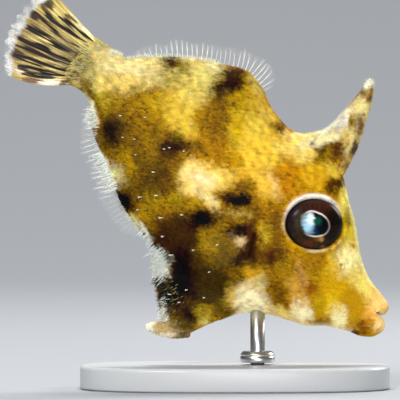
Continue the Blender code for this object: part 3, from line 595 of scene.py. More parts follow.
# %% The list of markings
GROUND = "#B98A22"
STREAK_TURN = math.radians(10)
STREAK_STRETCH = 0.5
HAIR_WIDTH, HAIR_STRAIGHTNESS = 2.3, 0.45
HAIR_REACH, HAIR_SHARE = 1.7, 0.18
EDGE_SOFTNESS = 1.35
UNDER_FILM = np.array([0.96, 0.94, 0.84])
FILM_LIGHT = np.array([0.010, 0.012, 0.014])
DARKEST = 0.0008
MARKINGS = [
    # tail stalk, and the back behind the shoulder
    (93, 68, 36, 30, -45, "#CFC07C", 1.0, 0.4), (104, 43, 11, 6.5, -42, "#AFA678", 0.95, 0.6),
    (150, 72, 62, 18, -4, "#CCBC78", 1.0, 0.35), (126, 71, 24, 12, -12, "#EADAA4", 0.9, 0.6),
    (199, 84, 21, 20, 30, "#D8CE7C", 1.0, 0.45), (80, 66, 14, 15, -20, "#9A8A4A", 0.85, 0.6),
    (86, 86, 13, 6, -48, "#6E5626", 0.95, 0.5), (97, 103, 14, 5, -66, "#54420F", 1.0, 0.5),
    (106, 98, 10, 13, 10, "#B8A030", 0.85, 0.6),
    # rear flank
    (142, 130, 38, 42, 0, "#86640F", 1.0, 0.4), (145, 102, 24, 13, -15, "#94701A", 0.9, 0.7),
    (158, 104, 12, 8, -40, "#C2A02C", 0.8, 0.7), (114, 131, 15, 21, 5, "#5A460F", 0.95, 0.5),
    (146, 168, 32, 27, 10, "#56420F", 0.95, 0.5), (160, 175, 13, 16, 0, "#483610", 0.85, 0.7),
    (129, 163, 15, 7, -60, "#A8841E", 0.9, 0.6),
    # middle of the flank, and the shoulder
    (181, 114, 15, 29, 14, "#D8B846", 1.0, 0.45), (191, 92, 13, 15, 20, "#D4BC5C", 0.85, 0.6),
    (152, 142, 12, 24, 0, "#9A7614", 0.6, 0.7), (217, 122, 16, 33, 4, "#86620F", 1.0, 0.4),
    (217, 154, 26, 14, -4, "#A87812", 0.95, 0.5), (192, 148, 13, 7, -12, "#7C5A12", 0.9, 0.6),
    # nape, with its spot
    (254, 134, 21, 46, 20, "#DEBE4A", 1.0, 0.4), (238, 132, 6, 18, 0, "#C8A41C", 0.9, 0.5),
    (241, 104, 12, 13, -20, "#A8851E", 0.9, 0.6), (225, 109, 8, 16, 4, "#735410", 0.95, 0.5),
    (256, 85, 5, 13, 35, "#C4B25C", 0.95, 0.6), (266, 115, 5, 12, 35, "#CDB04C", 0.9, 0.6),
    (255, 158, 20, 22, 0, "#EFC544", 0.9, 0.5), (283, 127, 7, 7.5, -42, "#6A4C16", 1.0, 0.4),
    (300, 150, 22, 13, -10, "#F2D874", 1.0, 0.5), (235, 158, 8, 9, 0, "#B2861A", 0.85, 0.6),
    # upper edge of the back, with the back spot
    (120, 82, 24, 7.5, -5, "#E6CC72", 0.9, 0.6), (178, 53.5, 46, 5, -3, "#E3E0B8", 0.9, 0.6),
    (213, 64, 12, 5, -32, "#D8D2A2", 0.9, 0.6), (171, 63, 9.5, 9.5, -10, "#2C1C0C", 1.0, 0.5),
    (183, 67, 9, 6, -30, "#7E6A1C", 0.85, 0.6), (172, 79, 13, 7, 0, "#A08E40", 0.85, 0.7),
    # bright patch of the flank, and the olive round it
    (207, 178, 27, 13, -6, "#E9C962", 1.0, 0.35), (188, 179, 10, 19, -14, "#F0D27C", 0.95, 0.5),
    (202, 179, 12, 8, -20, "#F3DCB0", 0.9, 0.7), (208, 200, 19, 5, -46, "#ECD694", 0.95, 0.6),
    (172, 176, 5, 18, 0, "#7A5812", 0.8, 0.6), (156, 193, 22, 10, -8, "#624A0C", 0.9, 0.6),
    (179, 203, 20, 7, -6, "#9E801C", 0.9, 0.6), (149, 208, 8, 13, 10, "#937A1E", 0.85, 0.6),
    # side of the head, and the brow
    (267, 185, 9, 20, 12, "#E8BE4C", 0.95, 0.5), (275, 185, 4, 12, 15, "#FBE3A0", 0.8, 0.7),
    (270, 212, 13, 12, 0, "#A4740F", 0.95, 0.5), (252, 216, 11, 10, 0, "#6A4A0F", 0.95, 0.5),
    (290, 179, 17, 19, 0, "#BA8018", 1.0, 0.5), (315, 176, 15, 13, -8, "#D8AA2C", 1.0, 0.5),
    (322, 161, 10, 4.5, 0, "#8C701A", 0.85, 0.6), (333, 170, 8, 8, 10, "#E2C24C", 0.95, 0.6),
    (330, 190, 8, 5, 10, "#96700E", 0.8, 0.7), (276, 230, 10, 22, 0, "#74520F", 0.95, 0.5),
    # edge of the belly, with its pale fluff
    (91, 114, 12, 4.5, -78, "#E4E6D4", 0.9, 0.5), (94, 140, 8, 7, -75, "#5A4634", 0.95, 0.6),
    (104, 171, 22, 9, -62, "#EEF0DE", 1.0, 0.45), (117, 174, 9, 7, -60, "#CFC98C", 0.75, 0.7),
    (123, 201, 16, 13, -25, "#16110A", 1.0, 0.5), (136, 219, 7, 3.5, -45, "#D8D08C", 0.9, 0.6),
    # lower flank, gill and fin root
    (178, 241, 36, 31, -8, "#43300F", 1.0, 0.32), (162, 240, 9, 12, -30, "#3A2611", 0.8, 0.7),
    (228, 216, 11, 10, 0, "#8A6A1E", 0.95, 0.5), (216, 246, 17, 19, 0, "#6A5618", 1.0, 0.45),
    (209, 248, 8, 17, 5, "#A8842A", 0.9, 0.7), (237, 214, 12, 4, -5, "#AC9048", 0.85, 0.6),
    (240, 231, 12, 8, 10, "#1A0F08", 1.0, 0.55), (249, 243, 6, 18, 0, "#2A190F", 1.0, 0.5),
    (254, 241, 8.5, 18, 5, "#4E3226", 1.0, 0.55), (241, 259, 16, 10, 10, "#33270C", 1.0, 0.5),
    (240, 242, 5, 5.5, 30, "#CDB488", 1.0, 0.45),
    # cheek, belly and throat
    (266, 236, 4, 12, -6, "#B89C34", 0.8, 0.6), (274, 260, 15, 14, 25, "#4A2E08", 1.0, 0.6),
    (290, 268, 13, 12, 0, "#A47E1E", 1.0, 0.55), (252, 277, 14, 9, 8, "#CC9E30", 0.95, 0.5),
    (208, 286, 31, 28, 0, "#40340E", 1.0, 0.32), (252, 303, 20, 19, 0, "#FCF1C8", 1.0, 0.5),
    (231, 302, 5.5, 13, 6, "#DDB63C", 0.85, 0.7), (262, 281, 8, 7, 0, "#B8AA72", 0.8, 0.7),
    (277, 290, 10, 19, 14, "#8A6410", 1.0, 0.5), (281, 299, 7, 8, 0, "#78550C", 0.9, 0.6),
    (284, 313, 12, 4.5, -26, "#F4D878", 0.95, 0.5), (293, 290, 6, 11, 10, "#D2A44A", 0.9, 0.6),
    (311, 264, 13, 9, -8, "#9C7014", 0.9, 0.6), (302, 278, 5.5, 15, 14, "#BE8E4E", 0.9, 0.6),
    (320, 276, 9, 14, 0, "#A0780C", 0.9, 0.55), (335, 287, 17, 15, -10, "#D2A516", 1.0, 0.5),
    (312, 290, 5, 6, 0, "#8A4A10", 0.9, 0.6),
    # bars of the throat
    (302, 314, 8, 12, 8, "#FBF3CC", 1.0, 0.6), (319, 309, 7.5, 15, 0, "#C09A20", 1.0, 0.4),
    (319, 323, 8, 4, -5, "#7C5414", 0.9, 0.6), (333, 303, 7, 9, 0, "#E0BE30", 0.95, 0.5),
    (339, 320, 8, 11, 6, "#F6ECB8", 1.0, 0.6),
    # front of the eye, and the snout
    (349, 225, 8, 38, 8, "#E8C834", 1.0, 0.5), (345, 202, 6, 13, 8, "#FCF080", 0.85, 0.6),
    (347, 218, 5.5, 9, 0, "#8A7010", 0.9, 0.7), (349, 260, 13, 15, 0, "#FFF4B0", 1.0, 0.55),
    (364, 286, 18, 9, -52, "#F0DC78", 1.0, 0.5), (331, 262, 4, 11, 0, "#E2BE34", 0.8, 0.6),
    # muzzle, chin and lips
    (357, 306, 12, 14, 0, "#BE9222", 1.0, 0.5), (350, 293, 5, 5, 0, "#B88A1C", 0.6, 0.7),
    (370, 314, 8, 7, -10, "#DFA248", 1.0, 0.5), (366, 327, 7.5, 6, 0, "#6E461A", 1.0, 0.5),
    (369, 323, 4, 5, 0, "#B47A1C", 0.85, 0.6), (353, 332, 7, 3, -12, "#3C280A", 0.9, 0.55),
    (380, 302, 11, 10, -50, "#F7CC80", 1.0, 0.5), (381, 323, 8, 9, 0, "#FBDA96", 1.0, 0.5),
    (353.5, 245.5, 2.2, 2.0, 0, "#A06E18", 0.9, 0.6), (341, 264.7, 2.0, 1.6, 0, "#A8923C", 0.9, 0.5),
    # the dark blotches: shoulder, flank, rear, side, lower and brow
    (219, 92, 8, 7, -20, "#3C2C0C", 0.95, 0.5), (231.5, 81, 14.5, 13.5, 10, "#2A1E0A", 1.0, 0.4),
    (236, 73, 8, 6, -28, "#3A2C0E", 0.95, 0.6), (168, 153, 8, 6, -20, "#4E390E", 0.9, 0.6),
    (175, 146, 15.5, 9.5, -6, "#33230B", 1.0, 0.45), (111, 133, 9.5, 13.5, 0, "#27220E", 1.0, 0.5),
    (227, 198, 11, 6.5, -4, "#3A280C", 0.95, 0.5), (244, 187, 8, 6, 0, "#6A4A10", 0.9, 0.6),
    (241, 200.5, 13.5, 9.5, 6, "#171008", 1.0, 0.45), (204, 220, 17, 9.5, 6, "#141006", 1.0, 0.45),
    (337, 184, 9.5, 7, 32, "#4A2E0A", 1.0, 0.5),
    # ventral flap and its fringe
    (181, 280, 14, 30, 0, "#0D0A06", 1.0, 0.5), (169, 296, 13, 20, 0, "#18140A", 1.0, 0.4),
    (187, 316, 12, 12, 0, "#2A1E0A", 1.0, 0.5), (222, 309, 12, 11, 20, "#5C4A10", 1.0, 0.5),
    (204, 316, 8, 10, 10, "#A08A30", 1.0, 0.5), (204, 323, 4.5, 4, 22, "#D0C070", 0.85, 0.6),
    (165, 284, 7, 1.6, -35, "#6E6030", 0.7, 0.8), (169, 306, 6, 1.6, -40, "#6A5C38", 0.7, 0.8),
    (177, 322, 10, 6, 10, "#4A3E18", 0.95, 0.5), (159.5, 266, 8.5, 13.5, 0, "#DCE0D4", 1.0, 0.45),
    (147, 234, 11, 3.2, -58, "#DDE0DA", 0.95, 0.5), (164, 316, 5.5, 8, 0, "#DEDBCC", 0.95, 0.5),
    # root of the spine, and its web
    (337.5, 149, 9.5, 11.5, 6, "#5A3A0E", 1.0, 0.5), (321.5, 149.5, 8, 8.5, 0, "#5E4212", 0.95, 0.5),
    (329.5, 149, 2.2, 7, 0, "#8A6A26", 0.7, 0.7), (345.5, 166, 4, 4, 0, "#6E5014", 0.9, 0.6),
    (324, 130, 24, 7, 38, "#D6D6CC", 1.0, 0.5), (330, 138, 14, 5, 25, "#F0E8B8", 0.9, 0.6),
    (302, 136, 16, 4, -6, "#E8D890", 0.9, 0.6), (345, 117, 6, 14, -18, "#D6D0C8", 1.0, 0.5),
    # spine
    (359, 118, 10, 38, -14, "#E0CF86", 1.0, 0.4), (359, 104, 8, 11, -15, "#E4D698", 0.9, 0.6),
    (350, 104, 4, 4, 0, "#C0A890", 0.7, 0.7), (352, 121, 4, 6.5, -10, "#7A5E22", 0.95, 0.6),
    (359.8, 126, 4.4, 11, -14, "#6A4408", 1.0, 0.5), (354.5, 148, 4, 8.5, -16, "#4A340E", 1.0, 0.5),
    (369, 94, 4, 6.5, -10, "#946C16", 1.0, 0.5), (369.5, 98.5, 2, 2.4, 0, "#4A300C", 0.9, 0.6),
    (362.5, 92, 3.0, 4, 0, "#5A4428", 0.9, 0.6), (367, 82.5, 10, 4.5, 0, "#F8F7EE", 1.0, 0.5),
    # pelvic knob
    (166, 331, 24, 11, -4, "#B29C6C", 1.0, 0.4), (148, 327, 7, 7, 0, "#F2EEDC", 1.0, 0.6),
    (178, 328, 9, 4, -8, "#8A7040", 0.85, 0.7), (160, 326, 6, 2.5, -8, "#B8863A", 0.6, 0.8),
    (164, 335, 9, 2.5, -8, "#FCE6C0", 0.8, 0.7), (187, 327, 10, 7, -10, "#4A3C18", 0.95, 0.5),
    (164, 336, 9, 2.4, 8, "#F0DCCC", 0.85, 0.7), (181, 336, 8, 3.4, -10, "#54442A", 0.8, 0.6),
]
print("markings:", len(MARKINGS))


def along_streaks(points):
    """The points with their distance along the streaks shortened, so that a pattern runs along them."""
    way = np.array([math.cos(STREAK_TURN), 0.0, -math.sin(STREAK_TURN)])
    return points - (points @ way)[..., None] * way * (1 - STREAK_STRETCH)


def oval_distance(px, py, x0, y0, radius_x, radius_y, turn):
    """How far each place lies from an oval's middle, 1 on its outline."""
    dx, dy = px - x0, y0 - py
    c, d = math.cos(math.radians(turn)), math.sin(math.radians(turn))
    return np.hypot((dx * c + dy * d) / radius_x, (dy * c - dx * d) / radius_y)


def hairs(px, py, x0, y0, size, seed):
    """A random field of fine hairs that run out from a middle, about -1 to 1."""
    far = np.hypot(px - x0, py - y0) + 0.01
    ring = np.stack([(px - x0) / far * size, (py - y0) / far * size, far * HAIR_STRAIGHTNESS], axis=-1)
    return ripple(ring, HAIR_WIDTH, seed, waves=12)


def mark_weight(away, strength, soft):
    """How much of a mark's colour shows at a distance from its middle, 1 on its outline."""
    return strength * (1 - smooth_step(1 - soft, 1 + soft, away))


def marked_colour(points):
    """Linear colours of the skin at world points in mm, from the markings in painting order."""
    shape = points.shape[:-1]
    px, py = (v.reshape(-1) for v in photo_place(points))
    drift_x = (2.2 * ripple(points, 1.8, 11) + 0.9 * ripple(points, 0.55, 12)).reshape(-1)
    drift_y = (1.8 * ripple(points, 1.8, 21) + 0.9 * ripple(points, 0.55, 22)).reshape(-1)
    colour = np.tile(rgb(GROUND), (px.size, 1))
    for seed, (x0, y0, radius_x, radius_y, turn, code, strength, soft) in enumerate(MARKINGS):
        size, soft = math.sqrt(radius_x * radius_y), min(0.9, EDGE_SOFTNESS * soft)
        calm = min(1.0, size / 8)
        away = oval_distance(px + calm * drift_x, py + calm * drift_y, x0, y0, radius_x, radius_y, turn)
        near = np.nonzero(away < 1 + soft + 2 * HAIR_SHARE)[0]
        reach = min(HAIR_REACH / size, HAIR_SHARE)
        frayed = away[near] + reach * hairs(px[near], py[near], x0, y0, size, seed)
        colour[near] += (rgb(code) - colour[near]) * mark_weight(frayed, strength, soft)[:, None]
    colour = np.maximum(colour * UNDER_FILM - FILM_LIGHT, DARKEST)
    return colour.reshape(*shape, 3)


# %% [markdown]
# The rim of the eye is bare cream skin, painted brightest above and behind, where light from above
# falls, and darker below and in front as painted shade. The ridge of the snout and the lips and the edge
# of the throat are painted pale lines that stand in for light passing through a thin edge, and the slit
# of the mouth and the gill slit get painted shade. Then a fine mottle goes over all of it, as the pigment
# cells of the skin lie in small groups. How coarse the grain is at each place, weak on the snout and in
# bright skin, is kept in the alpha of the colour.

# %% Colour the skin
# The eye's rim: a lit cream where painted light falls above and behind, and a painted shade elsewhere.
RIM_LIT_CREAM, RIM_PAINTED_SHADE = rgb("#FCF4E4"), rgb("#BE9C58")
RIM_WIDTHS = [
    (-180, 0.36), (-150, 0.2), (-125, 0.12), (-100, 0.3), (-75, 0.26), (-50, 0.05), (0, 0.0), (25, 0.12),
    (45, 0.36), (70, 0.46), (100, 0.52), (130, 0.46), (155, 0.32), (180, 0.3),
]
RIM_PAINTED_LIGHT = [
    (-180, 0.1), (-120, 0.0), (-90, 0.2), (-60, 0.1), (0, 0.3), (35, 0.5), (60, 0.8), (100, 1.0), (135, 0.95),
    (160, 0.45), (180, 0.1),
]
# Painted light: pale lines along the snout's ridge and the throat's edge stand in for light through a thin
# edge.
RIDGE_PAINTED_LIGHT, RIDGE_WIDTH, RIDGE_STRENGTH = rgb("#F8EE9C"), 0.42, 0.85
UNDER_EDGE_PAINTED_LIGHT, UNDER_EDGE_WIDTH, UNDER_EDGE_STRENGTH = rgb("#FCE9B4"), 0.5, 0.5
# Painted shade for the slit of the mouth and for the gill slit.
MOUTH_PAINTED_SHADE, SLIT_PAINTED_SHADE = rgb("#4A2410"), rgb("#2E1A10")
LUMINANCE = np.array([0.21, 0.72, 0.07])

colours = marked_colour(skin_points)
# Painted light and painted shade round the rim of each eye.
for side in (-1, 1):
    gap, angle = eye_distance(skin_points, side)
    turn = np.degrees(angle)
    width, rim_painted_light = smooth_line(RIM_WIDTHS)(turn), smooth_line(RIM_PAINTED_LIGHT)(turn)
    rim = 1 - smooth_step(0.5, 1.5, np.maximum(gap - 0.05, 0) / np.maximum(width, 0.05))
    rim *= width > 0.06
    shade = RIM_PAINTED_SHADE + (RIM_LIT_CREAM - RIM_PAINTED_SHADE) * rim_painted_light[..., None]
    blend(colours, shade, 0.95 * rim * smooth_step(0.05, 0.3, width))
# Painted light along the ridge of the snout and along the edge of the throat.
on_body = s_grid > MUZZLE_S
from_ridge = np.where(on_body, back(s_grid) - h_grid, 9.0)
on_snout = smooth_step(2.8, 5.2, s_grid) * (1 - smooth_step(11.5, 14.5, s_grid))
blend(colours, RIDGE_PAINTED_LIGHT, RIDGE_STRENGTH * on_snout * hill(from_ridge, 0, RIDGE_WIDTH))
under = hill(h_grid, belly(s_grid), UNDER_EDGE_WIDTH) * on_body * (1 - smooth_step(10.5, 12.5, s_grid))
blend(colours, UNDER_EDGE_PAINTED_LIGHT, UNDER_EDGE_STRENGTH * under)
rough_skin = 0.22 + 0.78 * smooth_step(4.0, 14.0, s_grid)
mottle = 0.12 * ripple(skin_points, 1.1, 31) + 0.12 * ripple(along_streaks(skin_points), 0.5, 32)
colours *= (1 + rough_skin * mottle)[..., None]
colours[..., 1] *= 1 + rough_skin * 0.05 * ripple(skin_points, 0.9, 33)
# Painted shade inside the slit of the mouth, and in the gill slit.
mouth_shade_weight = 1 - smooth_step(0.05, 0.17, np.linspace(0, 1, LIP_RINGS))
for i in range(LIP_RINGS - 1):
    colours[i] += (MOUTH_PAINTED_SHADE - colours[i]) * mouth_shade_weight[i]
slit = hill(from_slit, 0, 0.3) * within_slit * (np.abs(y_grid) > SIDE_FROM_Y)
blend(colours, SLIT_PAINTED_SHADE, 0.6 * slit)
colours = np.clip(colours, DARKEST, 1.0)
bright = colours @ LUMINANCE
coarse_grain = rough_skin * (0.7 + 0.3 * smooth_step(0.0, 0.1, bright))
coarse_grain *= 1 - 0.85 * smooth_step(0.12, 0.45, bright)
print("skin's mean linear colour:", colours.reshape(-1, 3).mean(0).round(3))

# %% [markdown]
# ## The skin's material
# Filefish skin is like velvet or fine sandpaper: each tiny scale carries spinules, and there is a thin
# layer of slime over pigment. So it is rough with a weak wet gloss, a little light passes into it, and
# its bump is a fine cell pattern of about four scales to the millimetre.

# %% Velvet skin material
SCALE_SPACING = 0.24 * MM
GRAIN_SPACING = 0.1 * MM
FLECK_SPACING = 0.26 * MM
FLECK_TINT, PAINTED_GLINT_TINT = (0.42, 0.36, 0.3), (1.5, 1.6, 2.6)


def fleck(tree, place, spacing, low, high, strength):
    """Small clear-cut flecks: 0 between them, and the strength inside them."""
    return map_range(tree, noise(tree, place, spacing, 3.0), 0.0, strength, low, high)


def mix(tree, factor, first, second):
    inputs = {"Factor": factor, "A": first, "B": second}
    return add_node(tree, "ShaderNodeMix", inputs, data_type="VECTOR").outputs["Result"]


def velvet_skin():
    """Rough pigmented skin: a weak wet gloss, light that passes a little way in, fine scales, and pale flecks
    painted bright as highlights.
    """
    material, tree, shader = new_material(
        "velvet_fish_skin", Roughness=0.6, Subsurface_Weight=0.1, Subsurface_Scale=0.4 * MM,
        IOR=1.36, Specular_IOR_Level=0.12)
    place = object_place(tree)
    turned = add_node(tree, "ShaderNodeMapping", {"Vector": place, "Rotation": (0, -STREAK_TURN, 0)})
    lying = add_node(tree, "ShaderNodeMapping", {
        "Vector": turned.outputs[0], "Scale": (STREAK_STRETCH, 1, 1)}).outputs[0]
    colour, coarse = vertex_colour(tree, "markings")
    grain = noise(tree, lying, GRAIN_SPACING, 3.0)
    tinted = vector_math(tree, "SCALE", colour, map_range(tree, grain, 0.84, 1.16, 0.3, 0.7))
    dark = vector_math(tree, "MULTIPLY", colour, FLECK_TINT)
    flecked = mix(tree, fleck(tree, lying, FLECK_SPACING, 0.5, 0.66, coarse), tinted, dark)
    # Pale flecks: pale spinule tips, made brighter as a painted highlight.
    painted_glint = vector_math(tree, "MULTIPLY", colour, PAINTED_GLINT_TINT)
    final = mix(tree, fleck(tree, lying, FLECK_SPACING * 0.7, 0.53, 0.68, coarse), flecked, painted_glint)
    scales = add_node(tree, "ShaderNodeTexVoronoi", {"Vector": place, "Scale": 1 / SCALE_SPACING})
    height = add_node(tree, "ShaderNodeMath", {0: grain, 1: scales.outputs["Distance"]}, operation="SUBTRACT")
    add_bump(tree, shader, height.outputs[0], 0.6, 0.04 * MM)
    feed(tree, shader, Base_Color=final, Roughness=map_range(tree, grain, 0.48, 0.75))
    return material


skin_material = velvet_skin()

# %% [markdown]
# The grid is open at its two ends, inside the mouth and inside the tail fin's root. A fan of triangles
# round a middle point closes each of them, so the skin is one closed shape.

# %% Make the skin
rows, columns = skin_points.shape[:2]
quads = grid_quads(rows, columns, wrap=True).tolist()
points = skin_points.reshape(-1, 3) * MM
for ring in (0, rows - 1):
    pole = len(points)
    points = np.vstack([points, skin_points[ring].mean(axis=0) * MM])
    quads += [(ring * columns + j, ring * columns + (j + 1) % columns, pole) for j in range(columns)]
skin = mesh_piece("skin", points, quads, skin_material)
all_colours = np.vstack([colours.reshape(-1, 3), colours[0].mean(0), colours[-1].mean(0)])
all_grains = np.append(coarse_grain.reshape(-1), [0.0, 0.0])
paint(skin, "markings", np.column_stack([all_colours, all_grains]))
print("skin:", len(skin.data.vertices), "vertices")

# %% [markdown]
# ## Eyes
# A fish's eye has a clear, wet cornea over a wide iris, with a lens that stands a little out of the
# pupil. Here one closed dome carries the iris as relief and colour, and a clear coat over it gives the
# wet gloss. Its colours are worked out for each vertex from the place in the eye, with fine streaks that
# run out from the pupil. In the black pupil the pale blue-white marks are a painted highlight, and its
# navy and teal are the lens's blue-green with painted reflection in it.

# %% Colours of the iris and the pupil
EYE_CENTRE_PX, EYE_CENTRE_PY = 314.5, 224.3
EYE_RINGS, EYE_SIDES = 72, 180
PUPIL_OUTLINE = [
    (-180, 13.6), (-140, 13.0), (-100, 11.6), (-70, 12.2), (-40, 14.2), (-15, 14.8), (10, 13.9), (35, 12.4),
    (70, 11.6), (110, 13.4), (145, 14.0), (180, 13.6),
]
RING_PINK, RING_OUTSIDE = "#F8E4D8", 0.4
RING_BRIGHTNESS = [
    (-180, 0.03), (-150, 0.03), (-120, 0.35), (-95, 0.8), (-65, 0.75), (-40, 0.35), (-10, 0.22), (15, 0.3),
    (35, 0.7), (60, 0.95), (110, 0.8), (135, 0.22), (180, 0.03),
]
EYE_MARKS = [
    ("iris ground", 0, 0, 60, 60, "#1C110A", 1.0, 0.2),
    ("upper rust", 2, 19, 17, 7, "#3C1E14", 0.7, 0.7),
    ("upper right spot", 13.5, 18, 3, 3, "#42190C", 0.8, 0.7),
    ("left purple", -22, 2, 6, 16, "#1E1218", 0.9, 0.7),
    ("left olive", -17, -6, 5, 12, "#251A0D", 0.8, 0.7),
    ("lower olive", -6, -19, 20, 7, "#2C220B", 0.9, 0.6),
    ("lower rust", -6, -20, 7, 3.5, "#4E2413", 0.85, 0.7),
    ("right dark", 22, -2, 9, 18, "#120A06", 0.9, 0.7),
    ("olive by the pupil", -15, 3, 3.5, 10, "#2E2712", 0.8, 0.8),
    ("orange mark", 3.5, -14.8, 4.0, 2.2, "#6A4010", 0.9, 0.6),
    ("tan mark", 7.0, -14.6, 2.2, 2.6, "#A87840", 1.0, 0.7),
    ("lower right fleck", 9, -23, 2.5, 1.6, "#8A5A28", 0.8, 0.8),
]
# In the pupil: the pale and steel marks are a painted highlight; navy and teal are the lens's blue-green,
# partly painted reflection.
PUPIL_MARKS = [
    ("pupil ground", 0, 0, 60, 60, "#020405", 1.0, 0.2),
    ("navy of the lens, partly painted reflection", -2.0, -6.0, 5.0, 4.0, "#0C2A58", 0.95, 0.7),
    ("teal of the lens, partly painted reflection", 3.4, 3.2, 3.0, 3.8, "#0A4A38", 0.9, 0.8),
    ("steel edge of the painted highlight", -11.5, 4, 2.4, 6.5, "#6C8890", 1.0, 0.7),
    ("pale painted highlight", -5.6, 2, 4.6, 9.5, "#A8D2E0", 1.0, 0.7),
    ("pale painted highlight, foot", -8.0, -4, 2.6, 3.6, "#A0C8DC", 0.8, 0.7),
    ("pale painted highlight, heart", -3.8, 5.4, 3.4, 4.6, "#E8FFFF", 1.0, 0.7),
]


def blend_marks(marks, u, v):
    """Colours at u across and v up from the eye's centre, in the photograph's pixels."""
    colour = np.zeros((*u.shape, 3))
    for _, x0, y0, radius_x, radius_y, code, strength, soft in marks:
        away = np.hypot((u - x0) / radius_x, (v - y0) / radius_y)
        blend(colour, rgb(code), mark_weight(away, strength, soft))
    return colour


def iris_colours(u, v):
    """Colours of the eye, and the distance outside the pupil's edge in pixels."""
    angle, radius = np.arctan2(v, u), np.hypot(u, v)
    polar = np.stack([np.cos(angle) * 26, np.sin(angle) * 26, radius * 0.35], axis=-1)
    streak = 1 + 0.22 * ripple(polar, 3.4, 51) + 0.12 * ripple(polar, 1.6, 52)
    pupil_edge = smooth_line(PUPIL_OUTLINE)(np.degrees(angle))
    iris = blend_marks(EYE_MARKS, u, v) * np.maximum(streak, 0.3)[..., None]
    ragged = ripple(np.stack([0.15 * u, v, 0 * u], axis=-1), 2.2, 53)
    pupil = blend_marks(PUPIL_MARKS, u + 0.9 * ragged, v)
    inside = 1 - smooth_step(-0.4, 0.4, radius - pupil_edge)
    colour = iris + (pupil - iris) * inside[..., None]
    line = hill(radius - pupil_edge, RING_OUTSIDE, 0.75) * smooth_line(RING_BRIGHTNESS)(np.degrees(angle))
    blend(colour, rgb(RING_PINK), line)
    return colour, radius - pupil_edge


# %% [markdown]
# The wet cornea lies over the pigment: it gives the eye a faint wet gloss and its depth. Its roughness
# varies a little, as a film of slime does.

# %% Wet eye material
def wet_eye():
    """Pigment under a clear wet cornea: it gives the eye its faint gloss and its depth."""
    material, tree, shader = new_material(
        "wet_cornea_over_iris", Roughness=0.4, Coat_Weight=0.06, Coat_Roughness=0.08, Coat_IOR=1.3,
        Specular_IOR_Level=0.08)
    grain = noise(tree, object_place(tree), 0.08 * MM)
    colour, _ = vertex_colour(tree, "iris_colour")
    feed(tree, shader, Base_Color=colour, Roughness=map_range(tree, grain, 0.2, 0.4))
    return material


eye_material = wet_eye()

# %% [markdown]
# Each eye is a closed dome: rings from the middle of the cornea to its edge, a ring behind it, and a flat
# back inside the socket. A low ring stands round the pupil.

# %% Make the eyes
EYE_FULLNESS = 2.6
EYE_RING_SPREAD = 0.9
EYE_BACK_SHARE, EYE_BACK_DEPTH = 0.8, 0.7
PUPIL_RIM, IRIS_HOLLOW = 0.05, 0.03


def make_eye(side, name):
    centre, length, height, out = (np.array(v) for v in eye_frame(side))
    share = np.linspace(0, 1, EYE_RINGS + 1)[1:, None] ** EYE_RING_SPREAD
    turn = np.linspace(0, 2 * math.pi, EYE_SIDES, endpoint=False)[None, :]
    a, b = EYE_HALF_LENGTH * share * np.cos(turn), EYE_HALF_HEIGHT * share * np.sin(turn)
    dome = EYE_HALF_DEPTH * (1 - share ** EYE_FULLNESS) ** (1 / EYE_FULLNESS) * np.ones_like(turn)
    flat = a[..., None] * length + b[..., None] * height
    front = centre + flat + dome[..., None] * out
    px, py = photo_place(front)
    colour, from_pupil = iris_colours(px - EYE_CENTRE_PX, EYE_CENTRE_PY - py)
    # The outer edge of the dome, where it goes under the rim of the socket, is painted darker as shade.
    colour *= (1 - 0.8 * smooth_step(0.9, 0.98, share))[..., None]
    relief = PUPIL_RIM * hill(from_pupil, RING_OUTSIDE, 1.2) - IRIS_HOLLOW * smooth_step(0, 5, from_pupil)
    front += relief[..., None] * out
    behind = centre + flat[-1] * EYE_BACK_SHARE - EYE_BACK_DEPTH * out
    points = np.vstack([[centre + EYE_HALF_DEPTH * out], front.reshape(-1, 3), behind]) * MM
    faces = [(0, 1 + j, 1 + (j + 1) % EYE_SIDES) for j in range(EYE_SIDES)]
    faces += (grid_quads(EYE_RINGS + 1, EYE_SIDES, wrap=True) + 1).tolist()
    rear = 1 + EYE_RINGS * EYE_SIDES
    faces.append(tuple(range(rear, rear + EYE_SIDES)))
    eye = mesh_piece(name, points, faces, eye_material)
    hidden = np.full((EYE_SIDES, 3), 0.01)
    paint(eye, "iris_colour", np.vstack([colour[0].mean(0), colour.reshape(-1, 3), hidden]))
    return eye


eyes = {"eye_right": make_eye(-1, "wet_eye_right"), "eye_left": make_eye(1, "wet_eye_left")}
print("eyes:", [len(eye.data.polygons) for eye in eyes.values()], "faces")

# %% [markdown]
# ## Fins as closed sheets
# A soft fin is a thin web of skin over rows of bony rays. Each one here is a closed sheet: a grid of
# middle points, and at each point half a thickness, which swells where a ray runs. The rays of the tail
# split in two and then again towards their ends, as a real ray does.

# %% Sheet helper
def sheet_piece(name, middle, half, material):
    """A closed sheet from a grid of middle points in mm and half thickness vectors."""
    rows, columns = middle.shape[:2]
    points = np.concatenate([(middle + half).reshape(-1, 3), (middle - half).reshape(-1, 3)]) * MM
    count = rows * columns
    front = grid_quads(rows, columns)
    border = list(range(columns)) + [i * columns + columns - 1 for i in range(1, rows)]
    border += [(rows - 1) * columns + j for j in range(columns - 2, -1, -1)]
    border += [i * columns for i in range(rows - 2, 0, -1)]
    edge = [(a, b, b + count, a + count) for a, b in zip(border, border[1:] + border[:1])]
    return mesh_piece(name, points, front.tolist() + (front[:, ::-1] + count).tolist() + edge, material)


def paint_sheet(piece, colour, alpha):
    """The same colours and alpha on both faces of a sheet."""
    rgba = np.concatenate([colour, alpha[..., None]], axis=-1).reshape(-1, 4)
    paint(piece, "fin_colour", np.vstack([rgba, rgba]))


RAY_SPREAD, RAY_NARROWER = 0.17, 0.1


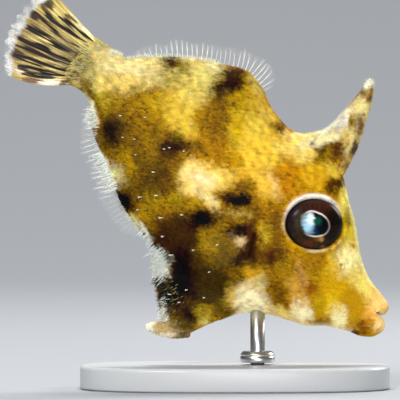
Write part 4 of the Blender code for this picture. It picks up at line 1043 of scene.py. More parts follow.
def ray_swell(across, along, rays, splits):
    """0 to 1 across a fin: 1 on the middle of a ray or of one of its branches."""
    q = across * (rays - 1)
    q = q - np.round(q)
    for start, spread in splits:
        q = np.abs(q) - spread * smooth_step(start, start + 0.3, along)
    return hill(q, 0, RAY_SPREAD - RAY_NARROWER * along)


# %% [markdown]
# ## Tail fin
# Twelve rays fan out from the end of the tail stalk. The web is yellow with a dark streak in each row,
# and the outer edge is clear, so that the rays stand out of it as pale bristles. The streaks are lines
# in the photograph's pixels, each with its own half width and colour.

# %% Shape of the tail fin
TAIL_RAYS, TAIL_ROOT_S, TAIL_ROOT_LOW, TAIL_ROOT_HIGH = 12, 44.0, -3.2, 2.55
TAIL_LENGTH = 9.2
TAIL_LENGTHS = [(0.0, 7.2), (0.25, 8.5), (0.5, TAIL_LENGTH), (0.75, 9.2), (1.0, 8.5)]
TAIL_ROOT_ANGLES = [(0.0, -47.0), (0.5, -12.0), (1.0, 6.0)]
TAIL_TIP_ANGLES = [(0.0, -14.0), (0.5, -16.0), (1.0, 9.0)]


def tail_middle(across, steps):
    """Middle points of the tail fin: rows run from root to tip, columns from the lowest ray up."""
    start = np.radians(smooth_line(TAIL_ROOT_ANGLES)(across))
    end = np.radians(smooth_line(TAIL_TIP_ANGLES)(across))
    q = across * (TAIL_RAYS - 1)
    notch = 0.015 * np.sin(math.pi * (q - np.round(q))) ** 2
    length = smooth_line(TAIL_LENGTHS)(across) * (1 - notch + 0.012 * np.sin(across * 61))
    s = np.full(across.shape, TAIL_ROOT_S)
    h = TAIL_ROOT_LOW + across * (TAIL_ROOT_HIGH - TAIL_ROOT_LOW)
    rows = [(s, h)]
    for i in range(steps):
        angle = start + (end - start) * (i + 0.5) / steps
        s, h = s + np.cos(angle) * length / steps, h + np.sin(angle) * length / steps
        rows.append((s, h))
    along = np.linspace(0, 1, steps + 1)[:, None]
    sway = 0.35 * along ** 2 * np.sin(2.2 * math.pi * across)
    return to_world(np.array([r[0] for r in rows]), sway, np.array([r[1] for r in rows])) / MM


# %% [markdown]
# The tail's ground is a few soft marks like those of the skin. Over it lie the streaks, from the fin's
# edge at the left to its root at the right. Each has a brown border, and fine lines that follow the rays
# fray it. Towards its end the web turns pale and clear.

# %% Streaks of the tail fin
TAIL_STREAKS = [
    ("third, brown end", [(12, 54), (20, 58), (28, 60.5)], 4.2, "#6B4A26", 0.75),
    ("fourth, brown end", [(9, 48.5), (15, 51), (23, 55)], 4.4, "#3A2A1C", 0.9),
    ("fifth, rosy end", [(16, 34), (21, 37), (26, 40.5)], 3.2, "#8A6458", 0.8),
    ("lowest", [(23, 73.2), (35, 74.3), (44, 76), (56, 78)], 3.1, "#0D0806", 1.0),
    ("second", [(18, 65.8), (28, 67.5), (36, 69.5), (44, 71.5), (55, 73.8), (66, 76)], 2.5, "#0F0906", 1.0),
    ("third", [(13, 55.5), (25, 59), (38, 62), (47, 65), (57, 69), (69, 71)], 2.5, "#180D09", 1.0),
    ("fourth", [(12, 44), (22, 47), (35, 52), (48, 57.5), (58, 61.5), (69, 66)], 2.3, "#20130D", 1.0),
    ("fifth", [(18, 38), (27, 42), (35, 45.5), (45, 50), (56, 56), (66, 61), (75, 65)], 3.6, "#1E110C", 1.0),
    ("sixth", [(21, 23.5), (30, 27), (42, 35), (51, 41), (60, 46), (70, 51), (80, 56)], 3.5, "#1A0F0A", 1.0),
    ("seventh blot", [(31, 11), (36, 15), (41, 19)], 4.8, "#2E201C", 0.95),
    ("seventh", [(35, 12.5), (45, 22), (52, 29), (59, 35.5), (67, 41.5), (79, 47)], 2.1, "#20130C", 1.0),
    ("eighth, outer", [(43, 7), (48, 13), (53, 18)], 3.6, "#463620", 0.85),
    ("eighth", [(46, 13), (54, 21), (60, 26), (66, 29.5), (73, 33.5), (88, 43)], 2.6, "#160C08", 1.0),
    ("ninth", [(60, 16), (70, 24), (78, 29.5), (85, 35), (93, 41)], 2.4, "#120804", 1.0),
    ("top, outer", [(28, 0), (36, 2), (42, 5)], 4.0, "#2E1E16", 0.95),
    ("top", [(42, 0), (48, 4), (54, 9)], 4.4, "#33261A", 0.9),
    ("top, inner", [(66, 14), (72, 18), (78, 23)], 1.8, "#5E4020", 0.85),
    ("lower smudge", [(24, 79), (31, 81), (38, 82)], 3.2, "#7A5244", 0.85),
    ("root smudge", [(61, 84), (67, 82), (72, 78)], 3.6, "#5E4C36", 0.8),
]
STREAK_WIDTH_LINE = [(0.0, 0.55), (0.22, 1.05), (0.5, 0.95), (0.8, 0.55), (1.0, 0.2)]
TAIL_GROUND = [
    ("web", 45, 45, 90, 90, 0, "#BCA868", 1.0, 0.2),
    ("web, olive", 28, 38, 22, 30, -20, "#86703E", 0.7, 0.8),
    ("web, pale", 52, 48, 22, 12, -30, "#DCCB8C", 0.75, 0.8),
    ("web, rosy", 20, 70, 9, 4, -10, "#E6CFC0", 0.7, 0.8),
    ("upper web, pale", 74, 28, 22, 9, -40, "#D6C67E", 0.9, 0.7),
    ("upper edge", 84, 27, 14, 4, -45, "#F4EDC8", 0.9, 0.6),
    ("root, yellow", 84, 52, 13, 12, 0, "#D6C47C", 0.8, 0.8),
    ("root, grey olive", 72, 60, 14, 22, 30, "#766A3E", 0.9, 0.7),
    ("lower edge", 50, 83, 15, 4.5, -6, "#F4E8D4", 0.95, 0.6),
]
EDGE_CLEAR = "#DDE0E6"
STREAK_BORDER = rgb("#5A4028")
TAIL_FINE_LINES, TAIL_FINE_ALONG = 36.0, 3.0


def line_distance(px, py, line):
    """Distance in pixels from each place to a line of straight pieces, and how far along it that is."""
    nearest, place = np.full(px.shape, 1e3), np.zeros(px.shape)
    pieces = list(zip(line, line[1:]))
    lengths = [math.dist(a, b) for a, b in pieces]
    before = 0.0
    for ((x0, y0), (x1, y1)), length in zip(pieces, lengths):
        dx, dy = x1 - x0, y1 - y0
        t = np.clip(((px - x0) * dx + (py - y0) * dy) / length ** 2, 0, 1)
        gap = np.hypot(px - x0 - t * dx, py - y0 - t * dy)
        place = np.where(gap < nearest, (before + t * length) / sum(lengths), place)
        nearest = np.minimum(nearest, gap)
        before += length
    return nearest, place


def tail_colours(points, across, along):
    """Linear colours of the tail fin, 1 in its clear margin, and its fine lines."""
    px, py = photo_place(points)
    across, along = np.broadcast_arrays(across, along)
    fine = ripple(np.stack([across * TAIL_FINE_LINES, along * TAIL_FINE_ALONG, 0 * along], -1), 1.0, 66)
    px = px + 0.6 * ripple(points, 2.4, 61) + 0.5 * fine
    py = py + 0.6 * ripple(points, 2.4, 62) + 0.5 * fine
    colour = np.zeros((*px.shape, 3))
    for _, x0, y0, radius_x, radius_y, turn, code, strength, soft in TAIL_GROUND:
        away = oval_distance(px, py, x0, y0, radius_x, radius_y, turn)
        blend(colour, rgb(code), mark_weight(away, strength, soft))
    colour *= np.clip(1 + 0.3 * fine, 0.3, 1.6)[..., None]
    for _, line, half_width_px, code, strength in TAIL_STREAKS:
        gap, place = line_distance(px, py, line)
        away = gap / (half_width_px * smooth_line(STREAK_WIDTH_LINE)(place)) + 0.4 * fine
        blend(colour, STREAK_BORDER, 0.5 * strength * (1 - smooth_step(0.7, 1.9, away)))
        blend(colour, rgb(code), strength * (1 - smooth_step(0.45, 1.2, away)))
    margin = smooth_step(0.84, 0.95, along + 0.03 * ripple(points, 1.6, 63))
    blend(colour, rgb(EDGE_CLEAR), margin)
    colour = colour * UNDER_FILM - 0.5 * FILM_LIGHT
    colour *= (1 + 0.1 * ripple(points, 0.3, 64))[..., None]
    return np.clip(colour, DARKEST, 1), margin, fine


# %% [markdown]
# The fins are wet skin over bony rays. Light that passes into the skin gives the tail its soft pale
# edges, the clear webs hardly show, and the rays are a little rougher than glass. Alpha comes with the
# colour of each vertex.

# %% Fin materials
def fin_web(name, roughness, subsurface):
    """Wet skin over rays: the light that passes into it gives its pale edge, and alpha its clear parts."""
    material, tree, shader = new_material(
        name, Roughness=roughness, Subsurface_Weight=subsurface, Subsurface_Scale=0.4 * MM, IOR=1.38)
    colour, alpha = vertex_colour(tree, "fin_colour")
    feed(tree, shader, Base_Color=colour, Alpha=alpha)
    add_bump(tree, shader, noise(tree, object_place(tree), 0.12 * MM, 3.0), 0.4, 0.03 * MM)
    return material


tail_material = fin_web("striped_fin_skin", 0.42, 0.15)
clear_fin_material = fin_web("clear_fin_web", 0.3, 0.0)
ray_material = fin_web("fin_ray_bone", 0.4, 0.2)

# %% [markdown]
# The tail's sheet is thickest at its root. Its rays swell out of the web, with the small joints of a real
# fin ray from a third of their length on.

# %% Make the tail fin
TAIL_COLUMNS, TAIL_STEPS = 300, 110
TAIL_HALF_THICKNESS, TAIL_THINNER, TAIL_RAY_OUT = 0.3, 0.2, 0.16
RAY_JOINT_MM, RAY_JOINT_DEPTH = 0.42, 0.3


def make_tail():
    across = np.linspace(0, 1, TAIL_COLUMNS)
    along = np.linspace(0, 1, TAIL_STEPS + 1)[:, None]
    middle = tail_middle(across, TAIL_STEPS)
    swell = ray_swell(across[None, :], along, TAIL_RAYS, [(0.25, 0.22), (0.55, 0.1)])
    in_joint = np.sin(along * TAIL_LENGTH * 2 * math.pi / RAY_JOINT_MM) > 0.86
    joints = 1 - RAY_JOINT_DEPTH * in_joint * smooth_step(0.25, 0.4, along)
    thick = TAIL_HALF_THICKNESS - TAIL_THINNER * along ** 0.8
    thick = thick + TAIL_RAY_OUT * swell * joints * (1 - 0.65 * along)
    thick = thick * (1 - 0.6 * smooth_step(0.97, 1.0, along))
    piece = sheet_piece("tail_fin_web", middle, thick[..., None] * [0, 1, 0], tail_material)
    colour, margin, fine = tail_colours(middle, across[None, :], along)
    clear = 0.3 + 0.3 * ripple(middle, 1.1, 67) + 0.1 * fine - 0.1 * swell
    clear = clear + 0.6 * smooth_step(0.88, 1.0, along)
    paint_sheet(piece, colour, 1 - margin * np.clip(clear, 0.0, 0.95))
    return piece


tail = make_tail()
print("tail fin:", len(tail.data.polygons), "faces")

# %% [markdown]
# ## Back fin and belly fin
# The second dorsal fin and the anal fin are clear in a filefish: only their rays show, as fine pale
# bristles. The web is a thin sheet that can hardly be seen. The rays are curves with a radius along
# their length, and Geometry Nodes sweep a round profile along them.

# %% Lines of the edge fins
FIN_ROOT_DEPTH = 0.8
DORSAL_START, DORSAL_END, DORSAL_RAYS = 27.0, 40.4, 31
DORSAL_HEIGHT_LINE = [(27.0, 1.0), (28.2, 2.2), (31.0, 1.95), (36.0, 1.6), (39.5, 1.1), (40.4, 0.6)]
ANAL_START, ANAL_END, ANAL_RAYS = 27.4, 40.4, 28
ANAL_HEIGHT_LINE = [(27.4, 0.9), (28.8, 1.6), (33.0, 1.95), (37.0, 1.75), (39.4, 1.1), (40.4, 0.6)]
WAVE_REACH, WAVES_ALONG = 0.8, 1.25
DORSAL_PHASE, ANAL_PHASE = 0.9, 2.4


def fin_reach(heights, s, along):
    """Distance over the line of the body in mm; along is 0 at the hidden root and 1 at the fin's edge."""
    return -FIN_ROOT_DEPTH + along * (smooth_line(heights)(s) + FIN_ROOT_DEPTH)


def edge_fin_grid(line, heights, start, end, sign, phase, across, along, lean=0.0):
    """Middle points of a fin along the back (sign 1) or the belly (sign -1)."""
    s = start + across * (end - start)
    slope = (line(s + 0.4) - line(s - 0.4)) / 0.8
    out = unit(np.stack([slope * -sign, np.full_like(s, sign)], axis=-1))
    reach = fin_reach(heights, s, along)
    side = WAVE_REACH * np.maximum(0, reach / 2.5) ** 1.4 * np.sin(2 * math.pi * WAVES_ALONG * across + phase)
    back_lean = lean * np.maximum(reach, 0) ** 1.5
    return to_world(s + out[..., 0] * reach + back_lean, side, line(s) + out[..., 1] * reach) / MM


# %% [markdown]
# A ray is drawn as a path of edges whose points carry a taper. The tree turns the paths into curves and
# sweeps a circle along them. It is run once on each set of paths, and its result is kept as a plain mesh.

# %% Geometry Nodes tree for the rays
def new_tree(name, inputs, output):
    """An empty Geometry Nodes group with its sockets, given as (label, kind); and its input's outputs."""
    tree = bpy.data.node_groups.new(name, "GeometryNodeTree")
    for label, kind in inputs:
        tree.interface.new_socket(label, in_out="INPUT", socket_type=f"NodeSocket{kind}")
    tree.interface.new_socket(output, in_out="OUTPUT", socket_type="NodeSocketGeometry")
    return tree, add_node(tree, "NodeGroupInput").outputs


def named(tree, name, kind="FLOAT"):
    """What a mesh carries under a name."""
    node = add_node(tree, "GeometryNodeInputNamedAttribute", {"Name": name}, data_type=kind)
    return node.outputs["Attribute"]


def finish_tree(tree, output, geometry, material):
    final = add_node(tree, "GeometryNodeSetMaterial", {"Geometry": geometry, "Material": material})
    add_node(tree, "NodeGroupOutput", {output: final.outputs[0]})
    return tree


def ray_tree(name):
    """Sweeps a round profile along each edge path, with the path's own radius at every point."""
    inputs = [("Paths", "Geometry"), ("Ray radius", "Float"), ("Sides", "Int"), ("Material", "Material")]
    tree, given = new_tree(name, inputs, "Rays")
    curve = add_node(tree, "GeometryNodeMeshToCurve", {"Mesh": given["Paths"]}).outputs[0]
    circle = add_node(tree, "GeometryNodeCurvePrimitiveCircle", {
        "Resolution": given["Sides"], "Radius": given["Ray radius"]})
    swept = add_node(tree, "GeometryNodeCurveToMesh", {
        "Curve": curve, "Profile Curve": circle.outputs["Curve"], "Scale": named(tree, "taper"),
        "Fill Caps": True})
    real = add_node(tree, "GeometryNodeRealizeInstances", {"Geometry": swept.outputs[0]})
    smooth = add_node(tree, "GeometryNodeSetShadeSmooth", {"Geometry": real.outputs[0]})
    return finish_tree(tree, "Rays", smooth.outputs[0], given["Material"])


def run_tree(name, source, tree, values):
    """Runs a tree on an object, and gives back its result as a plain mesh object."""
    modifier = source.modifiers.new("nodes", "NODES")
    modifier.node_group = tree
    sockets = {item.name: item.identifier for item in tree.interface.items_tree if item.in_out == "INPUT"}
    for label, value in values.items():
        modifier[sockets[label]] = value
    evaluated = source.evaluated_get(bpy.context.evaluated_depsgraph_get())
    mesh = bpy.data.meshes.new_from_object(evaluated)
    source.modifiers.remove(modifier)
    return new_object(name, mesh)


def sweep_piece(name, runs, radius, sides):
    """Sweeps paths; each run is a path in mm, its taper and its colour with alpha, point by point."""
    paths, tapers, tints = zip(*runs)
    edges, at = [], 0
    for path in paths:
        edges += [(at + i, at + i + 1) for i in range(len(path) - 1)]
        at += len(path)
    mesh = bpy.data.meshes.new(f"{name}_paths")
    mesh.from_pydata((np.concatenate(paths) * MM).tolist(), edges, [])
    source = new_object(f"{name}_paths", mesh)
    number(source, "taper", np.concatenate(tapers))
    paint(source, "fin_colour", np.concatenate(tints))
    piece = run_tree(name, source, sweep_rays, {
        "Ray radius": radius * MM, "Sides": sides, "Material": ray_material})
    bpy.data.objects.remove(source)
    print(name, len(paths), "paths", len(piece.data.polygons), "faces")
    return piece


def tinted_path(code, alpha, count):
    """One colour with an alpha for each of a path's points."""
    return np.column_stack([np.tile(rgb(code), (count, 1)), alpha * np.ones(count)])


sweep_rays = ray_tree("sweep_fin_rays")

# %% [markdown]
# Each ray leans and ends a little differently, and forks halfway. Most rays are faint, as in the
# photograph, and a few groups of them catch the light: that light is painted in as a stronger alpha in
# ovals in its pixels, with how clearly the rays show there.

# %% Make the edge fins
RAY_RADIUS, RAY_SIDES, RAY_STEPS = 0.05, 6, 14
RAY_FORK, RAY_FORK_SPREAD = 0.5, 0.14
WEB_ROWS, WEB_COLUMNS_PER_RAY, WEB_NOTCH = 26, 8, 0.12
WEB_HALF_ROOT, WEB_HALF_THINNER = 0.12, 0.08
WEB_COLOUR, WEB_ALPHA = "#F1EFDE", 0.03
RAY_COLOUR, FAINT_RAY = "#FBFAF2", 0.1
# Ovals where the rays catch the light; that light is painted in as a stronger alpha.
RAYS_PAINTED_LIT = [
    (188, 52, 26, 16, 0.85), (252, 70, 22, 20, 0.85), (224, 60, 16, 12, 0.4), (150, 52, 14, 10, 0.5),
    (92, 114, 12, 18, 0.8), (88, 147, 12, 10, 0.5), (103, 172, 18, 24, 0.8),
]


def ray_alpha(points):
    """How clearly a ray shows: faint, but for the groups that catch the light, which is painted in as more
    alpha.
    """
    px, py = photo_place(points)
    alpha = np.full(px.shape, FAINT_RAY)
    for x0, y0, radius_x, radius_y, shows in RAYS_PAINTED_LIT:
        near = 1 - smooth_step(0.7, 1.3, oval_distance(px, py, x0, y0, radius_x, radius_y, 0))
        alpha = np.maximum(alpha, FAINT_RAY + (shows - FAINT_RAY) * near)
    return alpha


def make_edge_fin(name, line, heights, start, end, rays, sign, phase):
    columns = rays * WEB_COLUMNS_PER_RAY
    across, along = np.linspace(0, 1, columns)[None, :], np.linspace(0, 1, WEB_ROWS)[:, None]
    middle = edge_fin_grid(line, heights, start, end, sign, phase, across, along)
    q = across * (rays - 1)
    notch = WEB_NOTCH * np.sin(math.pi * (q - np.round(q))) ** 2 * smooth_step(0.6, 1.0, along)
    middle = middle - notch[..., None] * (middle[-1] - middle[0])[None]
    thick = (WEB_HALF_ROOT - WEB_HALF_THINNER * along ** 0.6) * np.ones_like(across)
    web = sheet_piece(f"{name}_web", middle, thick[..., None] * [0, 1, 0], clear_fin_material)
    paint(web, "fin_colour", tinted_path(WEB_COLOUR, WEB_ALPHA, 2 * middle.size // 3))
    draw = np.random.default_rng(columns)
    steps = np.linspace(0, 1, RAY_STEPS)
    forked = np.linspace(RAY_FORK, 1, RAY_STEPS // 2)
    runs = []
    for j in range(rays):
        lean, tall = draw.uniform(-0.04, 0.12), draw.uniform(0.82, 1.12)
        for run, spread in ((steps, 0.0), (forked, 1.0)):
            after_fork = (run - RAY_FORK) / (1 - RAY_FORK)
            share = j / (rays - 1) + spread * RAY_FORK_SPREAD / (end - start) * after_fork
            path = edge_fin_grid(line, heights, start, end, sign, phase, share, run * tall, lean)
            clear = ray_alpha(path) * (1 - 0.55 * run ** 2)
            runs.append((path, 1 - 0.7 * run, tinted_path(RAY_COLOUR, clear, len(run))))
    return web, sweep_piece(f"{name}_rays", runs, RAY_RADIUS, RAY_SIDES)


dorsal_pieces = make_edge_fin(
    "soft_dorsal", back, DORSAL_HEIGHT_LINE, DORSAL_START, DORSAL_END, DORSAL_RAYS, 1, DORSAL_PHASE)
anal_pieces = make_edge_fin("anal", belly, ANAL_HEIGHT_LINE, ANAL_START, ANAL_END, ANAL_RAYS, -1, ANAL_PHASE)

# %% [markdown]
# ## Bristles and skin tassels
# Along the belly, the flap and the root of the tail fin the skin ends in fringes of white bristles. On
# the flank stand small white tassels that split in two, the skin's way to look like weed. Both are
# rooted at a pixel of the photograph: the nearest place of the right side's skin is looked up, and the
# left side mirrors it.

# %% Places on the skin by their pixel
right_points = skin_points[:, :HALF_RING].reshape(-1, 3)
right_normals = grid_normals(skin_points)[:, :HALF_RING].reshape(-1, 3)
print("places on the right side:", len(right_points))
pixel_lookup = KDTree(len(right_points))
for index, (x, y) in enumerate(zip(*photo_place(right_points))):
    pixel_lookup.insert((x, y, 0.0), index)
pixel_lookup.balance()


def skin_at(px, py):
    """The place on the right side that shows nearest to a pixel, and its outward direction."""
    index = pixel_lookup.find((px, py, 0.0))[1]
    return right_points[index], right_normals[index]


# %% [markdown]
# A fringe is a line in the photograph's pixels, with the scatter of its bristles, their number, the way
# they point to the right and down, their shortest and longest length in pixels, their colour, and how
# clear they are at the root.

# %% Grow the bristles
FRINGES = [
    ("anal, upper", [(91, 108), (94, 115), (97, 127)], 2.0, 60, (-1.0, 0.12), (4, 11), "#F0F1E6", 0.8),
    ("anal, between", [(98, 130), (94, 141), (98, 152)], 1.5, 22, (-1.0, 0.05), (3, 9), "#D8D6CC", 0.6),
    ("anal, low", [(98, 153), (108, 172), (117, 190)], 2.5, 110, (-0.95, 0.35), (4, 13), "#F2F3E6", 0.9),
    ("belly, dark", [(116, 190), (119, 203), (126, 212)], 1.5, 34, (-0.9, 0.3), (2, 6), "#A8A498", 0.7),
    ("belly, yellow", [(126, 212), (134, 220), (141, 227)], 2.0, 30, (-0.7, 0.6), (2, 5), "#E9E6B4", 0.9),
    ("flap, upper", [(141, 227), (149, 238), (156, 250)], 2.0, 60, (-0.8, 0.6), (3, 7), "#EDEFEA", 0.95),
    ("flap, middle", [(158, 250), (162, 262), (161, 276)], 6.0, 150, (-0.75, 0.6), (4, 10), "#E8EAE2", 0.9),
    ("flap, tufts", [(157, 279), (163, 287), (166, 300)], 3.0, 70, (-0.85, 0.5), (2, 6), "#2C2410", 1.0),
    ("flap, dark tufts", [(160, 280), (167, 292), (170, 308)], 8.0, 150, (-0.7, 0.6), (2, 6), "#0E0A06", 1.0),
    ("flap, gold tufts", [(168, 288), (173, 295), (174, 304)], 9.0, 34, (-0.85, 0.5), (1.5, 4.5),
     "#9A8A44", 1.0),
    ("flap, low", [(166, 298), (163, 310), (166, 322)], 2.5, 70, (-0.9, 0.3), (3, 7), "#EFEDE0", 0.95),
    ("back", [(110, 54), (128, 52), (150, 49), (190, 51), (222, 62)], 2.5, 300, (-0.35, -0.95), (2, 5),
     "#EFEFDC", 0.75),
    ("tail root", [(74, 78), (82, 62), (92, 48)], 12.0, 100, (-0.9, -0.15), (3, 6), "#DDD4A4", 0.75),
    ("tail root, dark", [(70, 82), (78, 66), (86, 52)], 8.0, 70, (-0.9, -0.15), (3, 6), "#5E5030", 0.9),
]
BRISTLE_RADIUS, BRISTLE_SIDES, BRISTLE_STEPS = 0.042, 5, 6
BRISTLE_STRAY, BRISTLE_LIFT, BRISTLE_DROOP = 0.16, 0.35, 0.08


def mirrored(path, taper, tint):
    """A run of sweep_piece on the right side, and the same on the left."""
    return [(path * [1, mirror, 1], taper, tint) for mirror in (1, -1)]


def bristle_runs():
    draw = np.random.default_rng(101)
    runs = []
    run = np.linspace(-0.2, 1.0, BRISTLE_STEPS)
    out = np.maximum(run, 0)
    for _, line, scatter, count, (way_x, way_down), (short, tall), code, alpha in FRINGES:
        knots = np.linspace(0, 1, len(line))
        tint = tinted_path(code, alpha * (1 - 0.5 * run ** 2), BRISTLE_STEPS)
        for share in draw.uniform(0, 1, count):
            root, normal = skin_at(*(
                np.interp(share, knots, [p[k] for p in line]) + draw.normal(0, scatter / 2) for k in (0, 1)))
            way = np.array([way_x, 0.0, -way_down]) + draw.normal(0, BRISTLE_STRAY, 3) + BRISTLE_LIFT * normal
            way = unit(way)
            droop = np.array([draw.normal(0, 0.12), draw.normal(0, 0.12), -BRISTLE_DROOP])
            length = draw.uniform(short, tall) * PIXEL_MM
            path = root + length * (way * run[:, None] + droop * out[:, None] ** 2)
            runs += mirrored(path, 1 - 0.75 * out, tint)
    return runs


bristles = sweep_piece("skin_bristles", bristle_runs(), BRISTLE_RADIUS, BRISTLE_SIDES)

# %% [markdown]
# A tassel is a short stem with two branches. Each is given by its pixel and its length in pixels.

# %% Grow the tassels
TASSELS = [
    (122, 116, 3.5), (124, 137, 3.0), (137, 155, 3.5), (146, 117, 2.5), (155, 172, 4.0), (142, 197, 3.5),
    (158, 195, 4.0), (163, 218, 5.5), (184, 215, 3.0), (164, 236, 3.5), (174, 255, 5.0), (195, 250, 3.0),
    (211, 272, 3.5), (188, 289, 3.5), (205, 298, 3.5), (180, 302, 4.0), (172, 295, 4.0), (171, 148, 3.0),
    (165, 149, 2.5), (185, 151, 2.5), (193, 124, 3.0), (192, 93, 2.5), (139, 209, 3.0), (135, 139, 2.5),
    (219, 244, 3.5),
]
TASSEL_RADIUS, TASSEL_SIDES, TASSEL_SHORTER, TASSEL_COLOUR = 0.062, 6, 0.8, "#FAF6E4"
TASSEL_WAY, TASSEL_STEM, TASSEL_BRANCH = [-0.8, 0.0, 0.05], 0.45, 0.55


def tassel_runs():
    draw = np.random.default_rng(102)
    runs = []
    for px, py, pixels in TASSELS:
        root, normal = skin_at(px, py)
        length = TASSEL_SHORTER * pixels * PIXEL_MM
        way = 0.5 * normal + TASSEL_WAY + draw.normal(0, 0.12, 3)
        fork = root + TASSEL_STEM * length * way
        stem = np.linspace(root - 0.1 * normal, fork, 4)
        for turn in (-1, 1):
            side = np.array([-0.2, -0.2 * turn, 0.32 * turn]) + draw.normal(0, 0.1, 3)
            branch = np.linspace(fork, fork + TASSEL_BRANCH * length * (way + side), 5)[1:]
            path = np.vstack([stem, branch])
            taper, tint = np.linspace(1.0, 0.4, len(path)), tinted_path(TASSEL_COLOUR, 1.0, len(path))
            runs += mirrored(path, taper, tint)
    return runs


tassels = sweep_piece("skin_tassels", tassel_runs(), TASSEL_RADIUS, TASSEL_SIDES)

# %% [markdown]
# ## Pectoral fins
# A small clear fan behind the gill slit. In the photograph it lies open over the flank, and only its pale
# fleshy root and faint rays can be seen.

# %% Make the pectoral fins
PECTORAL_S, PECTORAL_H = 18.7, -4.2
PECTORAL_RAYS, PECTORAL_LENGTH, PECTORAL_ROOT = 12, 3.9, 1.6
PECTORAL_SPREAD, PECTORAL_OUT, PECTORAL_DROOP = math.radians(58), math.radians(26), math.radians(40)
PECTORAL_COLUMNS, PECTORAL_ROWS = 120, 44
PECTORAL_HALF_THICKNESS, PECTORAL_THINNER, PECTORAL_RAY_OUT = 0.2, 0.15, 0.07
PECTORAL_WEB_ALPHA, PECTORAL_RAY_ALPHA, PECTORAL_ROOT_ALPHA = 0.03, 0.13, 0.06
PECTORAL_ROOT_COLOUR, PECTORAL_WEB_COLOUR = rgb("#CDB488"), rgb("#8A7434")


def pectoral_grid(side, across, along):
    """Middle points of a fan that starts behind the gill slit, and the fan's normal."""
    root = to_world(PECTORAL_S + 0.35, side * (skin_depth(PECTORAL_S, PECTORAL_H) + 0.1), PECTORAL_H) / MM
    ahead = np.array([
        -math.cos(PECTORAL_OUT) * math.cos(PECTORAL_DROOP), side * math.sin(PECTORAL_OUT),
        -math.sin(PECTORAL_DROOP) * math.cos(PECTORAL_OUT)])
    down = np.array([math.sin(PECTORAL_DROOP), 0.0, -math.cos(PECTORAL_DROOP)])
    normal = unit(np.cross(ahead, down))
    share = across - 0.5
    angle = PECTORAL_SPREAD * share
    way = np.cos(angle)[..., None] * ahead + np.sin(angle)[..., None] * down
    reach = (PECTORAL_LENGTH * (1 - 0.9 * share ** 2) * along)[..., None]
    cup = (-side * 0.5 * np.sin(math.pi * along) * (0.25 - share ** 2))[..., None] * normal
    return root + (PECTORAL_ROOT * share)[..., None] * down + way * reach + cup, normal


def make_pectoral(side, name):
    across, along = np.meshgrid(np.linspace(0, 1, PECTORAL_COLUMNS), np.linspace(0, 1, PECTORAL_ROWS))
    middle, normal = pectoral_grid(side, across, along)
    swell = ray_swell(across, along, PECTORAL_RAYS, [(0.45, 0.2)])
    thick = PECTORAL_HALF_THICKNESS - PECTORAL_THINNER * along ** 0.7
    thick = thick + PECTORAL_RAY_OUT * swell * (1 - 0.6 * along)
    fin = sheet_piece(name, middle, thick[..., None] * normal, clear_fin_material)
    colour = np.tile(PECTORAL_ROOT_COLOUR, (*along.shape, 1))
    blend(colour, PECTORAL_WEB_COLOUR, smooth_step(0.05, 0.3, along))
    alpha = PECTORAL_WEB_ALPHA + PECTORAL_RAY_ALPHA * swell * (1 - 0.5 * along)
    alpha = alpha + PECTORAL_ROOT_ALPHA * (1 - smooth_step(0.02, 0.14, along))
    paint_sheet(fin, colour, np.clip(alpha, 0, 1))
    return fin


pectorals = {
    "pectoral_fin_right": make_pectoral(-1, "pectoral_right"),
    "pectoral_fin_left": make_pectoral(1, "pectoral_left"),
}
print("pectoral fins:", [len(fin.data.polygons) for fin in pectorals.values()], "faces")

# %% [markdown]
# ## Dorsal spine and its web
# The first dorsal spine stands up over the eye. It is bone under thin skin: rough with small thorns, and
# along its rear edge stand two rows of short barbs that point down. Its end is a ragged white cap. The
# web of pale skin that holds it to the back is a part of the skin above.

# %% Shape of the spine
SPINE_RADIUS_LINE = [(0.0, 0.72), (0.3, 0.68), (0.7, 0.58), (0.92, 0.5), (1.0, 0.2)]
SPINE_DEEPER, SPINE_TILT = 1.15, 0.3
SPINE_RINGS, SPINE_SIDES = 90, 40
SPINE_LUMPS = [(0.05, 0.7, 71), (0.03, 0.3, 72)]
SPINE_WAY = unit(to_world(SPINE_TIP[0], 0, SPINE_TIP[1]) - to_world(SPINE_ROOT[0], 0, SPINE_ROOT[1]))
BARBS, BARB_LENGTH, BARB_WIDTH, BARB_SIDES, BARB_TURN = 13, 0.32, 0.12, 5, 0.55
BARBS_FROM, BARBS_TO = 0.3, 0.97
THORNS, THORN_WIDTH, THORN_SIDES, THORN_LENGTHS, THORN_LEANS = 260, 0.055, 4, (0.12, 0.24), (-0.05, 0.12)
CAP_THORNS, CAP_FROM, CAP_THORN_WIDTH, CAP_STRAY, CAP_LENGTHS = 110, 0.95, 0.045, 0.38, (0.3, 0.75)


def spine_surface(t, turn):
    """A place on the shaft: turn is 0 at the front edge and pi at the rear."""
    s, h = spine_middle(t)
    radius = smooth_line(SPINE_RADIUS_LINE)(t)
    ahead = radius * np.cos(turn)
    return to_world(s - SPINE_DEEPER * ahead, radius * np.sin(turn), h + SPINE_TILT * ahead) / MM


def lumpy_tube(surface, rings, sides, lumps):
    """Points and faces of a closed tube over a surface, with random lumps."""
    t = np.linspace(0, 1, rings)[:, None]
    turn = np.linspace(0, 2 * math.pi, sides, endpoint=False)[None, :]
    plain = surface(t, turn + 0 * t)
    lift = sum(height * ripple(plain, wavelength, seed) for height, wavelength, seed in lumps)
    out = unit(plain - plain.mean(axis=1, keepdims=True))
    return (plain + out * lift[..., None]).reshape(-1, 3), tube_faces(rings, sides)


